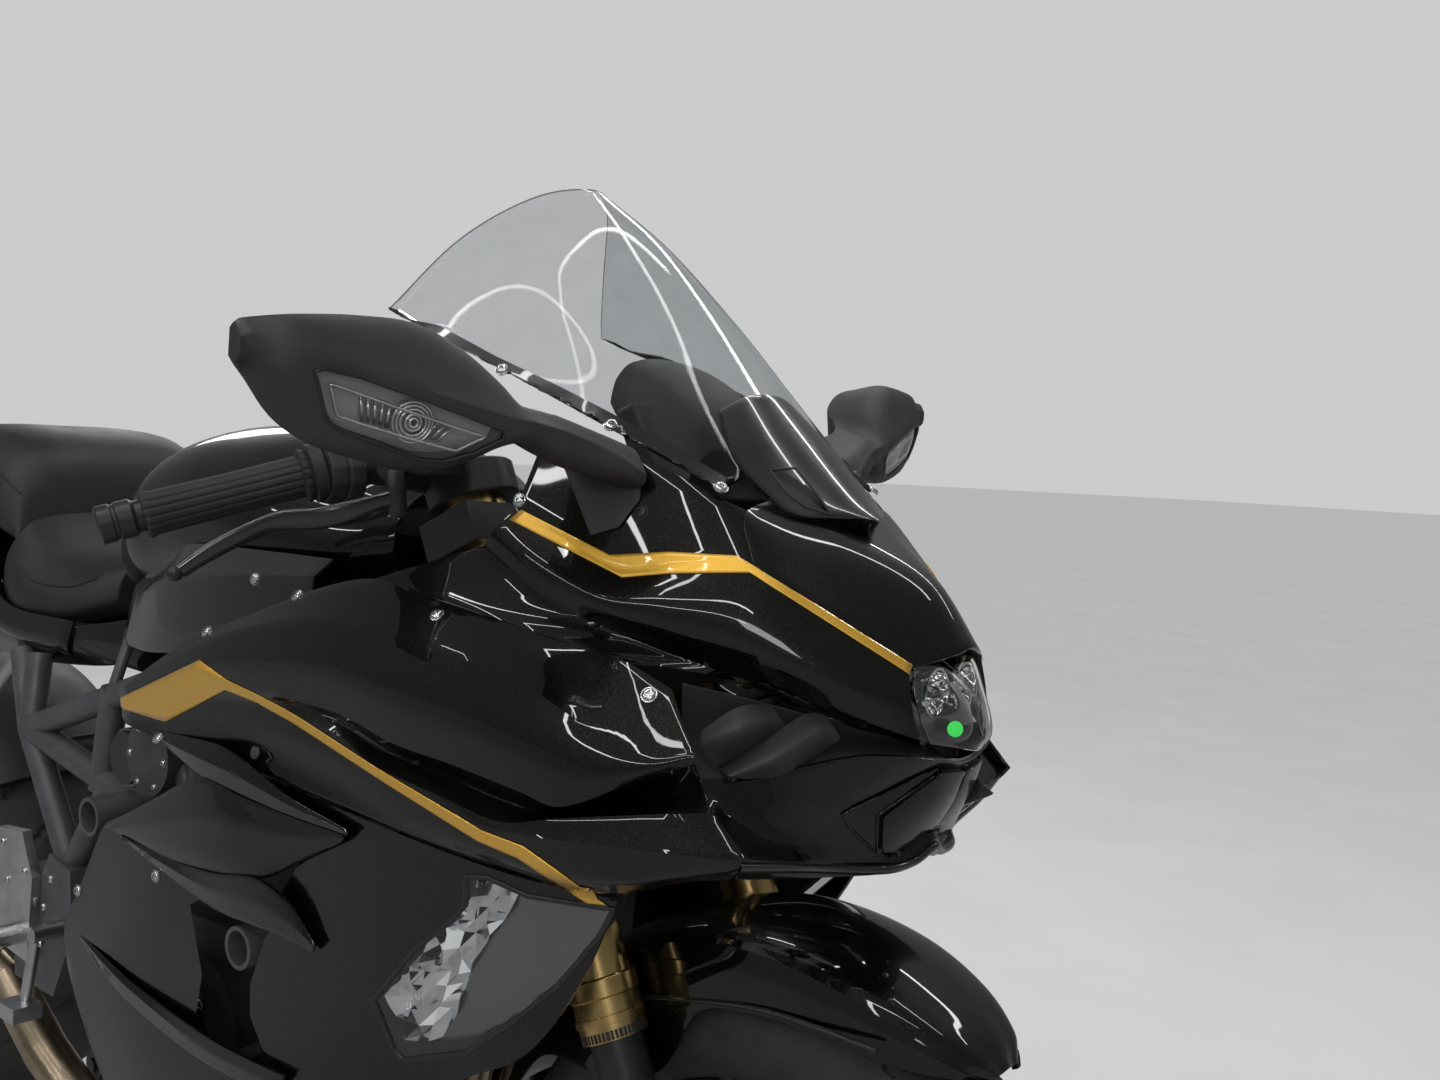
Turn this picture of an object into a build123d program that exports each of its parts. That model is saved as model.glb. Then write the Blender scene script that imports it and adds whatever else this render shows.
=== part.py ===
from build123d import *
import math
import os

# Sport touring motorcycle on its centre stand. Millimetres, +X forward, +Y to the rider's left, +Z up.
# The pieces are drawn with x measured ahead of the front axle and moved once, on export,
# so that the origin is on the ground under the middle of the overall length.

# Overall sizes
OVERALL_LENGTH = 2135.0
WHEELBASE = 1480.0
RAKE_DEG = 24.7
TRAIL = 103.0
STAND_LIFT = 12.0

# Clearances
FIT = 0.3
RUNNING_GAP = 0.3
SEAT = 2.5
PANEL = 5.0

# Wheels
FRONT_TYRE_R = 300.0
FRONT_TYRE_W = 120.0
REAR_TYRE_R = 320.0
REAR_TYRE_W = 190.0
RIM_R = 216.0
RIM_EDGE = 7.0
RIM_DEPTH = 20.0
BEAD_SHARE = 0.36
SPOKE_R0 = 13.0
SPOKE_R1 = 9.0
SPOKE_FORK_DEG = 9.0
FRONT_HUB_R = 34.0
REAR_HUB_R = 52.0
REAR_HUB_RIGHT = -62.0
REAR_HUB_LEFT = 80.0
REAR_SPOKE_Y = -30.0
FRONT_AXLE_R = 12.0
REAR_AXLE_R = 24.0
REAR_AXLE_NUT_R = 34.0
REAR_AXLE_NUT = 20.0

# Brakes
FRONT_DISC_R = 160.0
REAR_DISC_R = 125.0
DISC_THICK = 5.0
DISC_OFFSET = 66.0
DISC_BAND = 46.0
DISC_COVER = 12.0
PAD_GAP = 2.0
CALIPER_HALF = 19.0

# Fork and steering
FORK_SPACING = 214.0
FORK_TUBE_R = 26.0
FORK_STEP = 1.5
FORK_LEG_R = 21.5
FORK_FOOT_R = 28.0
FORK_SEAL_Z = 548.0
FORK_TOP_Z = 988.0
LOWER_CLAMP_Z = 790.0
UPPER_CLAMP_Z = 925.0
CLAMP_THICK = 34.0
CLAMP_END = 42.0
STEM_R = 17.0
HEAD_TUBE_R = 33.0
HEAD_GAP = 5.5
BAR_R = 11.0
GRIP_R = 17.0
GRIP_WALL_GAP = 0.3
SWITCH_R = 25.0
BAR_END_R = 15.0
BAR_CLAMP_R = 40.0
BAR_CLAMP_HIGH = 30.0

# Frame and drive
FRAME_TUBE_R = 14.0
SUBFRAME_TUBE_R = 11.0
STAY_TUBE_R = 8.0
SPROCKET_R = 92.0
DRIVE_SPROCKET_R = 36.0
SPROCKET_THICK = 8.0
CHAIN_HEIGHT = 14.0
CHAIN_WIDTH = 18.0
CHAIN_GAP = 1.0
CHAIN_Y = 164.0
ARM_INNER_Y = 105.0
ARM_OUTER_Y = 150.0
ARM_HUB_R = 62.0
PIVOT_X = -880.0
PIVOT_Z = 425.0
DRIVE_X = -800.0
DRIVE_Z = 405.0
ENGINE_HALF = 150.0

# Stands
STAND_PIVOT_X = -862.0
STAND_PIVOT_Z = 290.0
STAND_FOOT_X = -838.0
STAND_TUBE_R = 13.0
STAND_FOOT_HALF = 16.0
STAND_BOSS_HALF = 11.0
STAND_PIN_R = 8.0
PIN_FIT = 0.1
STAND_CHAIN_GAP = 7.0
STAND_FOOT_HIGH = 10.0
SIDE_STAND_X = -800.0
SIDE_STAND_Y = 182.0
SIDE_STAND_Z = 255.0
SIDE_STAND_LONG = 240.0
SIDE_STAND_R = 11.0
SIDE_STAND_PIN_R = 7.0
SIDE_STAND_SPLAY_DEG = 15.0

# Worked-out places
STAND_LEG_Y = CHAIN_Y - CHAIN_WIDTH / 2 - STAND_CHAIN_GAP - STAND_FOOT_HALF
SHIFT_X = OVERALL_LENGTH / 2 - FRONT_TYRE_R
TAN_RAKE = math.tan(math.radians(RAKE_DEG))
AXLE_Z = FRONT_TYRE_R
REAR_X = -WHEELBASE
REAR_Z = REAR_TYRE_R + STAND_LIFT
TAIL_X = FRONT_TYRE_R - OVERALL_LENGTH
FORK_Y = FORK_SPACING / 2
STEER_UP = Vector(-math.sin(math.radians(RAKE_DEG)), 0, math.cos(math.radians(RAKE_DEG)))


def steer_x(z):
    """x of the steering axis at a height."""
    return TRAIL - z * TAN_RAKE


def leg_x(z):
    """x of the fork legs' axis, which runs through the front axle."""
    return -(z - AXLE_Z) * TAN_RAKE


def cyl(p, q, r):
    """Round bar from p to q."""
    p, q = Vector(*p), Vector(*q)
    return Solid.make_cylinder(r, (q - p).length, Plane(origin=p, z_dir=q - p))


def cone(p, q, r0, r1):
    """Round bar from p to q that tapers."""
    p, q = Vector(*p), Vector(*q)
    return Solid.make_cone(r0, r1, (q - p).length, Plane(origin=p, z_dir=q - p))


def ball(p, r):
    return Pos(*p) * Sphere(r)


def box(x0, x1, y0, y1, z0, z1):
    """Box between its corner values."""
    return Pos((x0 + x1) / 2, (y0 + y1) / 2, (z0 + z1) / 2) * Box(x1 - x0, y1 - y0, z1 - z0)


def join(shapes):
    """One shape fused from several."""
    shapes = list(shapes)
    return shapes[0].fuse(*shapes[1:]) if len(shapes) > 1 else shapes[0]


def biggest(shape):
    """The largest solid of a shape."""
    return max(shape.solids(), key=lambda piece: piece.volume)


def pipe(points, r):
    """Round bar bent through the points, with round corners."""
    runs = [cyl(a, b, r) for a, b in zip(points, points[1:])]
    return join(runs + [ball(p, r) for p in points[1:-1]])


def slab(outline, y0, y1):
    """Flat plate: an outline of (x, z) points, between two values of y."""
    face = Face(Wire.make_polygon([(x, y0, z) for x, z in outline], close=True))
    return extrude(face, amount=y1 - y0, dir=(0, 1, 0))


def turned(profile, x, z):
    """Ring: a closed outline of (radius, y) points turned about the wheel axis at x, z."""
    face = Face(Wire.make_polygon([(x, y, z + r) for r, y in profile], close=True))
    return revolve(face, axis=Axis((x, 0, z), (0, 1, 0)), revolution_arc=360)


def flip(shape):
    """The same piece on the other side of the motorcycle."""
    return mirror(shape, about=Plane.XZ)


def other_side(points):
    """The same points on the other side of the motorcycle."""
    return [(x, -y, z) for x, y, z in points]


def shell_faces(outer, inner, closed):
    """Flat three-sided faces between two like grids of points."""
    faces = []

    def tri(a, b, c):
        if (b - a).cross(c - a).length > 1e-3:
            faces.append(Face(Wire.make_polygon([a, b, c], close=True)))

    def quad(a, b, c, d):
        tri(a, b, c)
        tri(a, c, d)

    rows, cols = len(outer), len(outer[0])
    for i in range(rows - 1):
        for j in range(cols if closed else cols - 1):
            k = (j + 1) % cols
            quad(outer[i][j], outer[i][k], outer[i + 1][k], outer[i + 1][j])
            if inner:
                quad(inner[i][j], inner[i + 1][j], inner[i + 1][k], inner[i][k])
    if inner:
        for j in range(cols if closed else cols - 1):
            k = (j + 1) % cols
            quad(outer[0][j], inner[0][j], inner[0][k], outer[0][k])
            quad(outer[-1][j], outer[-1][k], inner[-1][k], inner[-1][j])
        if not closed:
            for i in range(rows - 1):
                quad(outer[i][0], outer[i + 1][0], inner[i + 1][0], inner[i][0])
                quad(outer[i][-1], inner[i][-1], inner[i + 1][-1], outer[i + 1][-1])
    return faces


def solid_of(faces):
    made = Solid(Shell(faces))
    if made.volume < 0:
        made = Solid(Shell([-f for f in faces]))
    return made


def skin(rows, toward, thick=PANEL):
    """Body panel: rows of (x, y, z) points on its outside, thickened towards a point or, with y only, inwards."""
    outer = [[Vector(*p) for p in row] for row in rows]

    def inside(p):
        aim = Vector(*[t if t is not None else c for t, c in zip(toward, (p.X, p.Y, p.Z))])
        return p + (aim - p).normalized() * thick

    return solid_of(shell_faces(outer, [[inside(p) for p in row] for row in outer], False))


def body(sections):
    """Closed solid from sections of (x, [(y, z), ...]) from the top middle round one side to the bottom middle."""
    rings = []
    for x, half in sections:
        right = [Vector(x, -y, z) for y, z in half]
        left = [Vector(x, y, z) for y, z in reversed(half) if y > 0]
        rings.append(right + left)
    faces = shell_faces(rings, None, True)
    faces += [Face(Wire.make_polygon(rings[0], close=True)), Face(Wire.make_polygon(rings[-1], close=True))]
    return solid_of(faces)


def across(sections):
    """Closed solid from sections of (y, [(x, z), ...])."""
    rings = [[Vector(x, y, z) for x, z in ring] for y, ring in sections]
    faces = shell_faces(rings, None, True)
    faces += [Face(Wire.make_polygon(rings[0], close=True)), Face(Wire.make_polygon(rings[-1], close=True))]
    return solid_of(faces)


def loop_prism(c0, r0, c1, r1, y0, y1):
    """Outline of a belt round two circles in the plane of x and z, between two values of y."""
    dx, dz = c1[0] - c0[0], c1[1] - c0[1]
    d = math.hypot(dx, dz)
    base, lean = math.atan2(dz, dx), math.acos((r0 - r1) / d)
    quad = []
    for sign in (1, -1):
        a = base + sign * lean
        ends = [(c0[0] + r0 * math.cos(a), c0[1] + r0 * math.sin(a)),
                (c1[0] + r1 * math.cos(a), c1[1] + r1 * math.sin(a))]
        quad += ends if sign == 1 else ends[::-1]
    return join([slab(quad, y0, y1), cyl((c0[0], y0, c0[1]), (c0[0], y1, c0[1]), r0),
                 cyl((c1[0], y0, c1[1]), (c1[0], y1, c1[1]), r1)])


def wheel_tyre(x, z, radius, width):
    """Tyre with a round crown."""
    half, bead = width / 2, width * BEAD_SHARE
    shoulder = radius - width * 0.22
    crown = ThreePointArc((x, -half, z + shoulder), (x, 0, z + radius), (x, half, z + shoulder))
    wall = shoulder - width * 0.16
    inner = RIM_R + RUNNING_GAP
    rest = Polyline([(x, half, z + shoulder), (x, half, z + wall), (x, bead, z + inner),
                     (x, -bead, z + inner), (x, -half, z + wall), (x, -half, z + shoulder)])
    return revolve(Face(Wire([crown] + list(rest.edges()))), axis=Axis((x, 0, z), (0, 1, 0)), revolution_arc=360)


def wheel_rim(x, z, width, hub_r, hub_y0, hub_y1, bore_r, spoke_y):
    """Cast wheel: barrel, hub and five forked spokes."""
    half = width * BEAD_SHARE
    deep = RIM_R - RIM_DEPTH
    barrel = turned([(RIM_R, -half), (RIM_R, half), (RIM_R - RIM_EDGE, half), (deep, half - 12),
                     (deep, 12 - half), (RIM_R - RIM_EDGE, -half)], x, z)
    barrel = barrel.cut(turned([(deep - 4, -half - 1), (deep - 4, half + 1), (1, half + 1), (1, -half - 1)], x, z))
    hub = turned([(bore_r, hub_y0), (hub_r, hub_y0), (hub_r, hub_y1), (bore_r, hub_y1)], x, z)
    spokes = []
    for n in range(5):
        for lean in (-SPOKE_FORK_DEG, SPOKE_FORK_DEG):
            a = math.radians(90 + 72 * n)
            b = math.radians(90 + 72 * n + lean)
            near, far = hub_r - 6, RIM_R - RIM_DEPTH / 2
            spokes.append(cone((x + math.cos(a) * near, spoke_y, z + math.sin(a) * near),
                               (x + math.cos(b) * far, 0, z + math.sin(b) * far), SPOKE_R0, SPOKE_R1))
    return join([barrel, hub] + spokes)


def brake_disc(x, z, radius, y, bore):
    """Brake disc: the swept band and a carrier of five arms on a ring."""
    band = turned([(radius - DISC_BAND, y - DISC_THICK / 2), (radius, y - DISC_THICK / 2),
                   (radius, y + DISC_THICK / 2), (radius - DISC_BAND, y + DISC_THICK / 2)], x, z)
    ring = turned([(bore, y - DISC_THICK / 2), (bore + 22, y - DISC_THICK / 2),
                   (bore + 22, y + DISC_THICK / 2), (bore, y + DISC_THICK / 2)], x, z)
    arms = []
    for n in range(5):
        a = math.radians(54 + 72 * n)
        near, far = bore + 12, radius - DISC_BAND + 4
        arms.append(cyl((x + math.cos(a) * near, y, z + math.sin(a) * near),
                        (x + math.cos(a) * far, y, z + math.sin(a) * far), DISC_THICK / 2))
    return join([band, ring] + arms)


def caliper(x, z, radius, y, deg0, deg1):
    """Brake caliper astride a disc, between two angles about the axle."""
    out, low = radius + DISC_COVER, radius - DISC_BAND - 4
    mid = (deg0 + deg1) / 2
    ring = [(out, deg0), (out + 4, mid), (out, deg1), (low, deg1), (low, mid), (low, deg0)]
    outline = [(x + r * math.cos(math.radians(a)), z + r * math.sin(math.radians(a))) for r, a in ring]
    block = slab(outline, y - CALIPER_HALF, y + CALIPER_HALF)
    half = DISC_THICK / 2 + PAD_GAP
    slot = turned([(1, y - half), (radius + PAD_GAP, y - half), (radius + PAD_GAP, y + half), (1, y + half)], x, z)
    return block.cut(slot)


parts = {}

# Front wheel
FRONT_BORE = FRONT_AXLE_R + RUNNING_GAP
DISC_FACE = DISC_OFFSET - DISC_THICK / 2 - FIT
parts["front_tyre"] = wheel_tyre(0, AXLE_Z, FRONT_TYRE_R, FRONT_TYRE_W)
parts["front_rim"] = wheel_rim(0, AXLE_Z, FRONT_TYRE_W, FRONT_HUB_R, -DISC_FACE, DISC_FACE, FRONT_BORE, 0)
parts["front_discs"] = Compound(children=[
    brake_disc(0, AXLE_Z, FRONT_DISC_R, side * DISC_OFFSET, FRONT_BORE) for side in (-1, 1)])

# Front fork, steered
LEG_FOOT_Z = AXLE_Z - 24
SEAL_STEP_Z = FORK_SEAL_Z + 40
fork_outer, fork_inner = [], []
for side in (-1, 1):
    y = side * FORK_Y
    seal = (leg_x(FORK_SEAL_Z), y, FORK_SEAL_Z)
    step = (leg_x(SEAL_STEP_Z), y, SEAL_STEP_Z)
    top = (leg_x(FORK_TOP_Z), y, FORK_TOP_Z)
    fork_outer.append(join([cyl(seal, step, FORK_TUBE_R + FORK_STEP), cyl(step, top, FORK_TUBE_R)]))
    foot = (leg_x(LEG_FOOT_Z), y, LEG_FOOT_Z)
    below_seal = Vector(*seal) - STEER_UP * FIT
    foot_top = (leg_x(AXLE_Z + 62), y, AXLE_Z + 62)
    # The lug that carries the caliper, behind each leg.
    lug_y = sorted([side * (DISC_OFFSET + CALIPER_HALF), side * (FORK_Y - 7)])
    lug = slab([(-24, AXLE_Z + 70), (-24, AXLE_Z + 4), (-92, AXLE_Z + 22), (-104, AXLE_Z + 60), (-70, AXLE_Z + 98)],
               lug_y[0], lug_y[1])
    fork_inner.append(join([cyl(foot, tuple(below_seal), FORK_LEG_R), cyl(foot, foot_top, FORK_FOOT_R), lug]))
front_axle = cyl((0, -FORK_Y, AXLE_Z), (0, FORK_Y, AXLE_Z), FRONT_AXLE_R)
spacers = [turned([(FRONT_AXLE_R - 1, side * (DISC_OFFSET + DISC_THICK / 2 + FIT)),
                   (FRONT_AXLE_R + 8, side * (DISC_OFFSET + DISC_THICK / 2 + FIT)),
                   (FRONT_AXLE_R + 8, side * (FORK_Y - FORK_FOOT_R + 4)),
                   (FRONT_AXLE_R - 1, side * (FORK_Y - FORK_FOOT_R + 4))], 0, AXLE_Z) for side in (-1, 1)]
parts["fork_outer_tubes"] = Compound(children=fork_outer)
parts["fork_lower_legs"] = join(fork_inner + [front_axle] + spacers)

front_caliper = caliper(0, AXLE_Z, FRONT_DISC_R, -DISC_OFFSET, 137, 172)
front_caliper = front_caliper.cut(parts["fork_lower_legs"])
parts["front_calipers"] = Compound(children=[front_caliper, flip(front_caliper)])


# Triple clamps on the steering stem
def clamp(z):
    """Clamp plate square to the steering axis: (ahead, left) points in its own plane."""
    ahead = (leg_x(z) - steer_x(z)) * math.cos(math.radians(RAKE_DEG))
    forward = Vector(math.cos(math.radians(RAKE_DEG)), 0, math.sin(math.radians(RAKE_DEG)))
    end = FORK_Y + CLAMP_END
    outline = [(ahead + 34, -end), (ahead - 30, -end), (-44, -45), (-44, 45), (ahead - 30, end), (ahead + 34, end),
               (ahead + 14, 0)]
    start = Vector(steer_x(z), 0, z) - STEER_UP * (CLAMP_THICK / 2)
    face = Face(Wire.make_polygon([start + forward * a + Vector(0, 1, 0) * b for a, b in outline], close=True))
    return extrude(face, amount=CLAMP_THICK, dir=STEER_UP)


def fork_bore(side, r):
    """Long bar along a fork leg, for the hole that a clamp makes for it."""
    return cyl((leg_x(520), side * FORK_Y, 520), (leg_x(1100), side * FORK_Y, 1100), r)


stem = cyl((steer_x(LOWER_CLAMP_Z), 0, LOWER_CLAMP_Z), (steer_x(UPPER_CLAMP_Z), 0, UPPER_CLAMP_Z), STEM_R)
clamps = join([clamp(LOWER_CLAMP_Z), clamp(UPPER_CLAMP_Z), stem])
parts["triple_clamps"] = clamps.cut(fork_bore(-1, FORK_TUBE_R + FIT), fork_bore(1, FORK_TUBE_R + FIT))

# Handlebars, one clipped on each fork tube above the upper clamp
CLAMP_TOP = UPPER_CLAMP_Z + CLAMP_THICK / 2 / math.cos(math.radians(RAKE_DEG)) + 14
# Places along the right bar: x, y, z
BAR_ROOT = (-330, -112, 976)
BAR_BEND = (-338, -190, 987)
GRIP_IN = (-352, -243, 983)
GRIP_OUT = (-411, -372, 942)
bar_run = (Vector(*GRIP_OUT) - Vector(*GRIP_IN)).normalized()
bar_tip = Vector(*GRIP_OUT) + bar_run * 6
bar_ring = cyl((leg_x(CLAMP_TOP + 4), -FORK_Y, CLAMP_TOP + 4),
               tuple(Vector(leg_x(CLAMP_TOP + 4), -FORK_Y, CLAMP_TOP + 4) + STEER_UP * BAR_CLAMP_HIGH), BAR_CLAMP_R)
bar_right = join([bar_ring, pipe([BAR_ROOT, BAR_BEND, GRIP_IN, tuple(bar_tip)], BAR_R),
                  cyl(tuple(Vector(*GRIP_OUT) + bar_run * 2), tuple(bar_tip + bar_run * 6), BAR_END_R - 3),
                  cyl(tuple(bar_tip + bar_run * 5), tuple(bar_tip + bar_run * 26), BAR_END_R)])
bar_right = bar_right.cut(fork_bore(-1, FORK_TUBE_R + FIT))
parts["handlebars"] = Compound(children=[bar_right, flip(bar_right)])
grip_in = Vector(*GRIP_IN) + bar_run * 4
grip = cyl(tuple(grip_in), GRIP_OUT, GRIP_R).fuse(cyl(tuple(grip_in), tuple(grip_in + bar_run * 8), GRIP_R + 6))
grip = grip.cut(cyl(GRIP_IN, tuple(Vector(*GRIP_IN) + bar_run * 400), BAR_R + GRIP_WALL_GAP))
parts["grips"] = Compound(children=[grip, flip(grip)])
switch_in = Vector(*BAR_BEND) + (Vector(*GRIP_IN) - Vector(*BAR_BEND)).normalized() * 14
switch_out = Vector(*GRIP_IN) - (Vector(*GRIP_IN) - Vector(*BAR_BEND)).normalized() * 7
switch = cyl(tuple(switch_in), tuple(switch_out), SWITCH_R)
switch = switch.cut(pipe([BAR_ROOT, BAR_BEND, GRIP_IN], BAR_R + FIT))

# Brake and clutch master cylinders with their reservoirs, and the levers
# Places on the right: x, y, z
MASTER_IN = (-322, -160, 998)
MASTER_OUT = (-300, -206, 992)
LEVER_PIVOT = (-292, -214, 984)
LEVER_BEND = (-300, -262, 962)
LEVER_BALL = (-358, -350, 908)
master = join([cyl(MASTER_IN, MASTER_OUT, 13), box(-318, -268, -192, -146, 986, 1018),
               cyl((-325, -168, 984), MASTER_IN, 9)])
master = master.cut(parts["handlebars"], fork_bore(-1, FORK_TUBE_R + 1), switch)
lever_run = (Vector(*MASTER_OUT) - Vector(*MASTER_IN)).normalized()
lever_root = Vector(*MASTER_OUT) + lever_run * FIT
lever = join([pipe([tuple(lever_root), LEVER_PIVOT, LEVER_BEND, LEVER_BALL], 6.5), ball(LEVER_BALL, 9)])
lever = lever.cut(master)
parts["bar_controls"] = Compound(children=[switch, flip(switch), master, flip(master)])
parts["hand_levers"] = Compound(children=[lever, flip(lever)])

# Front mudguard
FENDER_HALF = FRONT_TYRE_W / 2 + 16
# Angle about the axle, crest outside the tyre's radius, edge outside it, half width
FENDER = [(48, 38, 18, FENDER_HALF - 36), (62, 43, 8, FENDER_HALF - 14), (80, 46, -2, FENDER_HALF - 2),
          (98, 46, -14, FENDER_HALF), (112, 44, -68, FENDER_HALF), (126, 40, -64, FENDER_HALF),
          (142, 34, -10, FENDER_HALF - 4), (158, 24, 2, FENDER_HALF - 16)]
fender_rows = []
for deg, crest, edge, half in FENDER:
    row = []
    for share_y, share_r in ((-1, 0), (-0.93, 0.62), (-0.6, 0.93), (0, 1), (0.6, 0.93), (0.93, 0.62), (1, 0)):
        r = FRONT_TYRE_R + edge + (crest - edge) * share_r
        a = math.radians(deg)
        row.append((r * math.cos(a), half * share_y, AXLE_Z + r * math.sin(a)))
    fender_rows.append(row)
fender = skin(fender_rows, (0, 0, AXLE_Z), 4)
fender_bolts = []
for side in (-1, 1):
    at = (leg_x(FORK_SEAL_Z - 36), FORK_SEAL_Z - 36)
    fender_bolts.append(cyl((at[0], side * (FENDER_HALF - 6), at[1]), (at[0], side * (FORK_Y - 10), at[1]), 12))
fender = join([fender] + fender_bolts).cut(parts["fork_lower_legs"], parts["fork_outer_tubes"])
parts["front_fender"] = fender

# Steering head and trellis frame
HEAD_LOW_Z = LOWER_CLAMP_Z + (CLAMP_THICK / 2 + HEAD_GAP) * math.cos(math.radians(RAKE_DEG))
HEAD_HIGH_Z = UPPER_CLAMP_Z - (CLAMP_THICK / 2 + HEAD_GAP) * math.cos(math.radians(RAKE_DEG))
head = cyl((steer_x(HEAD_LOW_Z), 0, HEAD_LOW_Z), (steer_x(HEAD_HIGH_Z), 0, HEAD_HIGH_Z), HEAD_TUBE_R)
head = head.cut(cyl((steer_x(700), 0, 700), (steer_x(1000), 0, 1000), STEM_R + FIT))
parts["steering_head"] = head

# Trellis tubes of the right side: name, points of x, y, z
KNOT = (-933, -186, 671)
UPPER_RAIL = [(-318, -22, 885), (-440, -122, 832), (-600, -176, 790), (-700, -184, 752)]
LOWER_RAIL = [(-292, -22, 832), (-430, -150, 722), (-600, -180, 655), (-755, -186, 640), (-834, -186, 534),
              (-866, -191, 456)]
TRELLIS = [UPPER_RAIL, LOWER_RAIL, [(-700, -184, 752), KNOT], [(-1000, -165, 745), KNOT, (-834, -186, 534)],
           [KNOT, (-755, -186, 640)], [(-945, -172, 752), KNOT], [(-757, -184, 742), (-775, -186, 632)],
           [(-440, -122, 832), (-430, -150, 722)], [(-600, -176, 790), (-430, -150, 722)],
           [(-600, -176, 790), (-600, -180, 655)], [(-600, -180, 655), (-700, -184, 752)]]
PIVOT_PLATE = [(-852, 548), (-806, 540), (-800, 470), (-838, 394), (-925, 394), (-930, 440), (-880, 500)]
PLATE_Y0, PLATE_Y1 = -203.0, -179.0
# Tabs that carry the panels, with their ends in the panels' backs
TABS = [((-600, -178, 788), (-600, -224, 768)), ((-430, -150, 722), (-430, -234, 740)),
        ((-560, -176, 792), (-560, -198, 806)), ((-757, -186, 742), (-757, -170, 790))]
TAB_R = 6.0
frame_right = join([pipe(run, FRAME_TUBE_R) for run in TRELLIS] + [slab(PIVOT_PLATE, PLATE_Y0, PLATE_Y1)]
                   + [cyl(start, end, TAB_R) for start, end in TABS])
frame_right = frame_right.cut(cyl((steer_x(700), 0, 700), (steer_x(1000), 0, 1000), HEAD_TUBE_R + FIT))
SLIDERS = [(-695, 629), (-435, 568)]
SLIDER_R = 19.0
SLIDER_BORE_R = 15.0
SLIDER_HOLE_GAP = 3.0
SLIDER_END_Y = -242.0
SLIDER_BORE_Y = -200.0
slider_tubes = []
for x, z in SLIDERS:
    slider_tubes.append(cyl((x, -130, z), (x, SLIDER_END_Y, z), SLIDER_R).cut(
        cyl((x, SLIDER_BORE_Y, z), (x, SLIDER_END_Y - 5, z), SLIDER_BORE_R)))
parts["frame_right"] = frame_right
parts["frame_left"] = flip(frame_right)

# Engine: one plain block of crankcase, cylinders and head, with its side covers
crankcase = slab([(-830, 500), (-830, 330), (-760, 300), (-520, 300), (-470, 360), (-470, 520), (-640, 520)],
                 -ENGINE_HALF, ENGINE_HALF)
cylinders = slab([(-640, 515), (-470, 515), (-440, 640), (-440, 690), (-480, 705), (-610, 690)], -135, 135)
plenum = slab([(-740, 515), (-650, 515), (-618, 690), (-640, 720), (-720, 720), (-745, 640)], -125, 125)
drive_sprocket = cyl((DRIVE_X, CHAIN_Y - SPROCKET_THICK / 2, DRIVE_Z), (DRIVE_X, CHAIN_Y + SPROCKET_THICK / 2, DRIVE_Z),
                     DRIVE_SPROCKET_R)
drive_shaft = cyl((DRIVE_X, ENGINE_HALF - 4, DRIVE_Z), (DRIVE_X, CHAIN_Y, DRIVE_Z), 16)
# Lug and pin of the side stand, on the crankcase's left
splay = math.radians(SIDE_STAND_SPLAY_DEG)
stand_axis = Vector(0, math.cos(splay), math.sin(splay))
hinge = Vector(SIDE_STAND_X, SIDE_STAND_Y, SIDE_STAND_Z)
lug = join([cyl(tuple(hinge - stand_axis * 34), tuple(hinge + stand_axis * 12), SIDE_STAND_PIN_R),
            slab([(-825, 234), (-775, 234), (-745, 340), (-790, 340)], ENGINE_HALF - 10, ENGINE_HALF + 4)])
# Bosses under the front slider tubes
slider_bosses = [cyl((SLIDERS[1][0] - 20, s * 123, SLIDERS[1][1]), (SLIDERS[1][0] - 20, s * 138, SLIDERS[1][1]),
                     SLIDER_R + 9) for s in (-1, 1)]
panel_bosses = [cyl((-510, s * (ENGINE_HALF - 4), 430), (-510, s * 236, 430), TAB_R) for s in (-1, 1)]
engine = join([crankcase, cylinders, plenum, drive_sprocket, drive_shaft, lug] + slider_bosses + panel_bosses)
engine = engine.cut(frame_right, parts["frame_left"])
parts["engine_block"] = engine
slider_tubes = [t.cut(frame_right, engine) for t in slider_tubes]
parts["frame_sliders"] = Compound(children=slider_tubes + [flip(t) for t in slider_tubes])
cover_y = ENGINE_HALF + FIT
clutch = cyl((-650, -cover_y, 405), (-650, -cover_y - 26, 405), 78).fuse(
    cyl((-650, -cover_y - 26, 405), (-650, -cover_y - 34, 405), 52))
alternator = cyl((-576, cover_y, 400), (-576, cover_y + 26, 400), 58)
blower = cyl((-655, -125 - FIT, 690), (-655, -205, 690), 38)
blower = blower.cut(frame_right, engine)
parts["engine_covers"] = Compound(children=[clutch, alternator, blower])

# Cooling
RADIATOR_HALF = 165.0
RADIATOR_TOP_Z = 728.0
radiator = slab([(-372, 440), (-340, 440), (-320, RADIATOR_TOP_Z), (-352, RADIATOR_TOP_Z)], -RADIATOR_HALF, RADIATOR_HALF)
radiator_arms = [cyl((-345, s * 90, 650), (-470, s * 90, 650), 9) for s in (-1, 1)]
# Brackets out to the side panels, on the right
RADIATOR_TABS = [((-345, -160, 600), (-345, -232, 600)), ((-355, -160, 470), (-355, -226, 470)),
                 ((-336, -155, RADIATOR_TOP_Z - 18), (-215, -228, 780))]
for start, end in RADIATOR_TABS:
    radiator_arms += [cyl(start, end, TAB_R), flip(cyl(start, end, TAB_R))]
radiator = join([radiator] + radiator_arms).cut(engine)
parts["radiator"] = radiator

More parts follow.
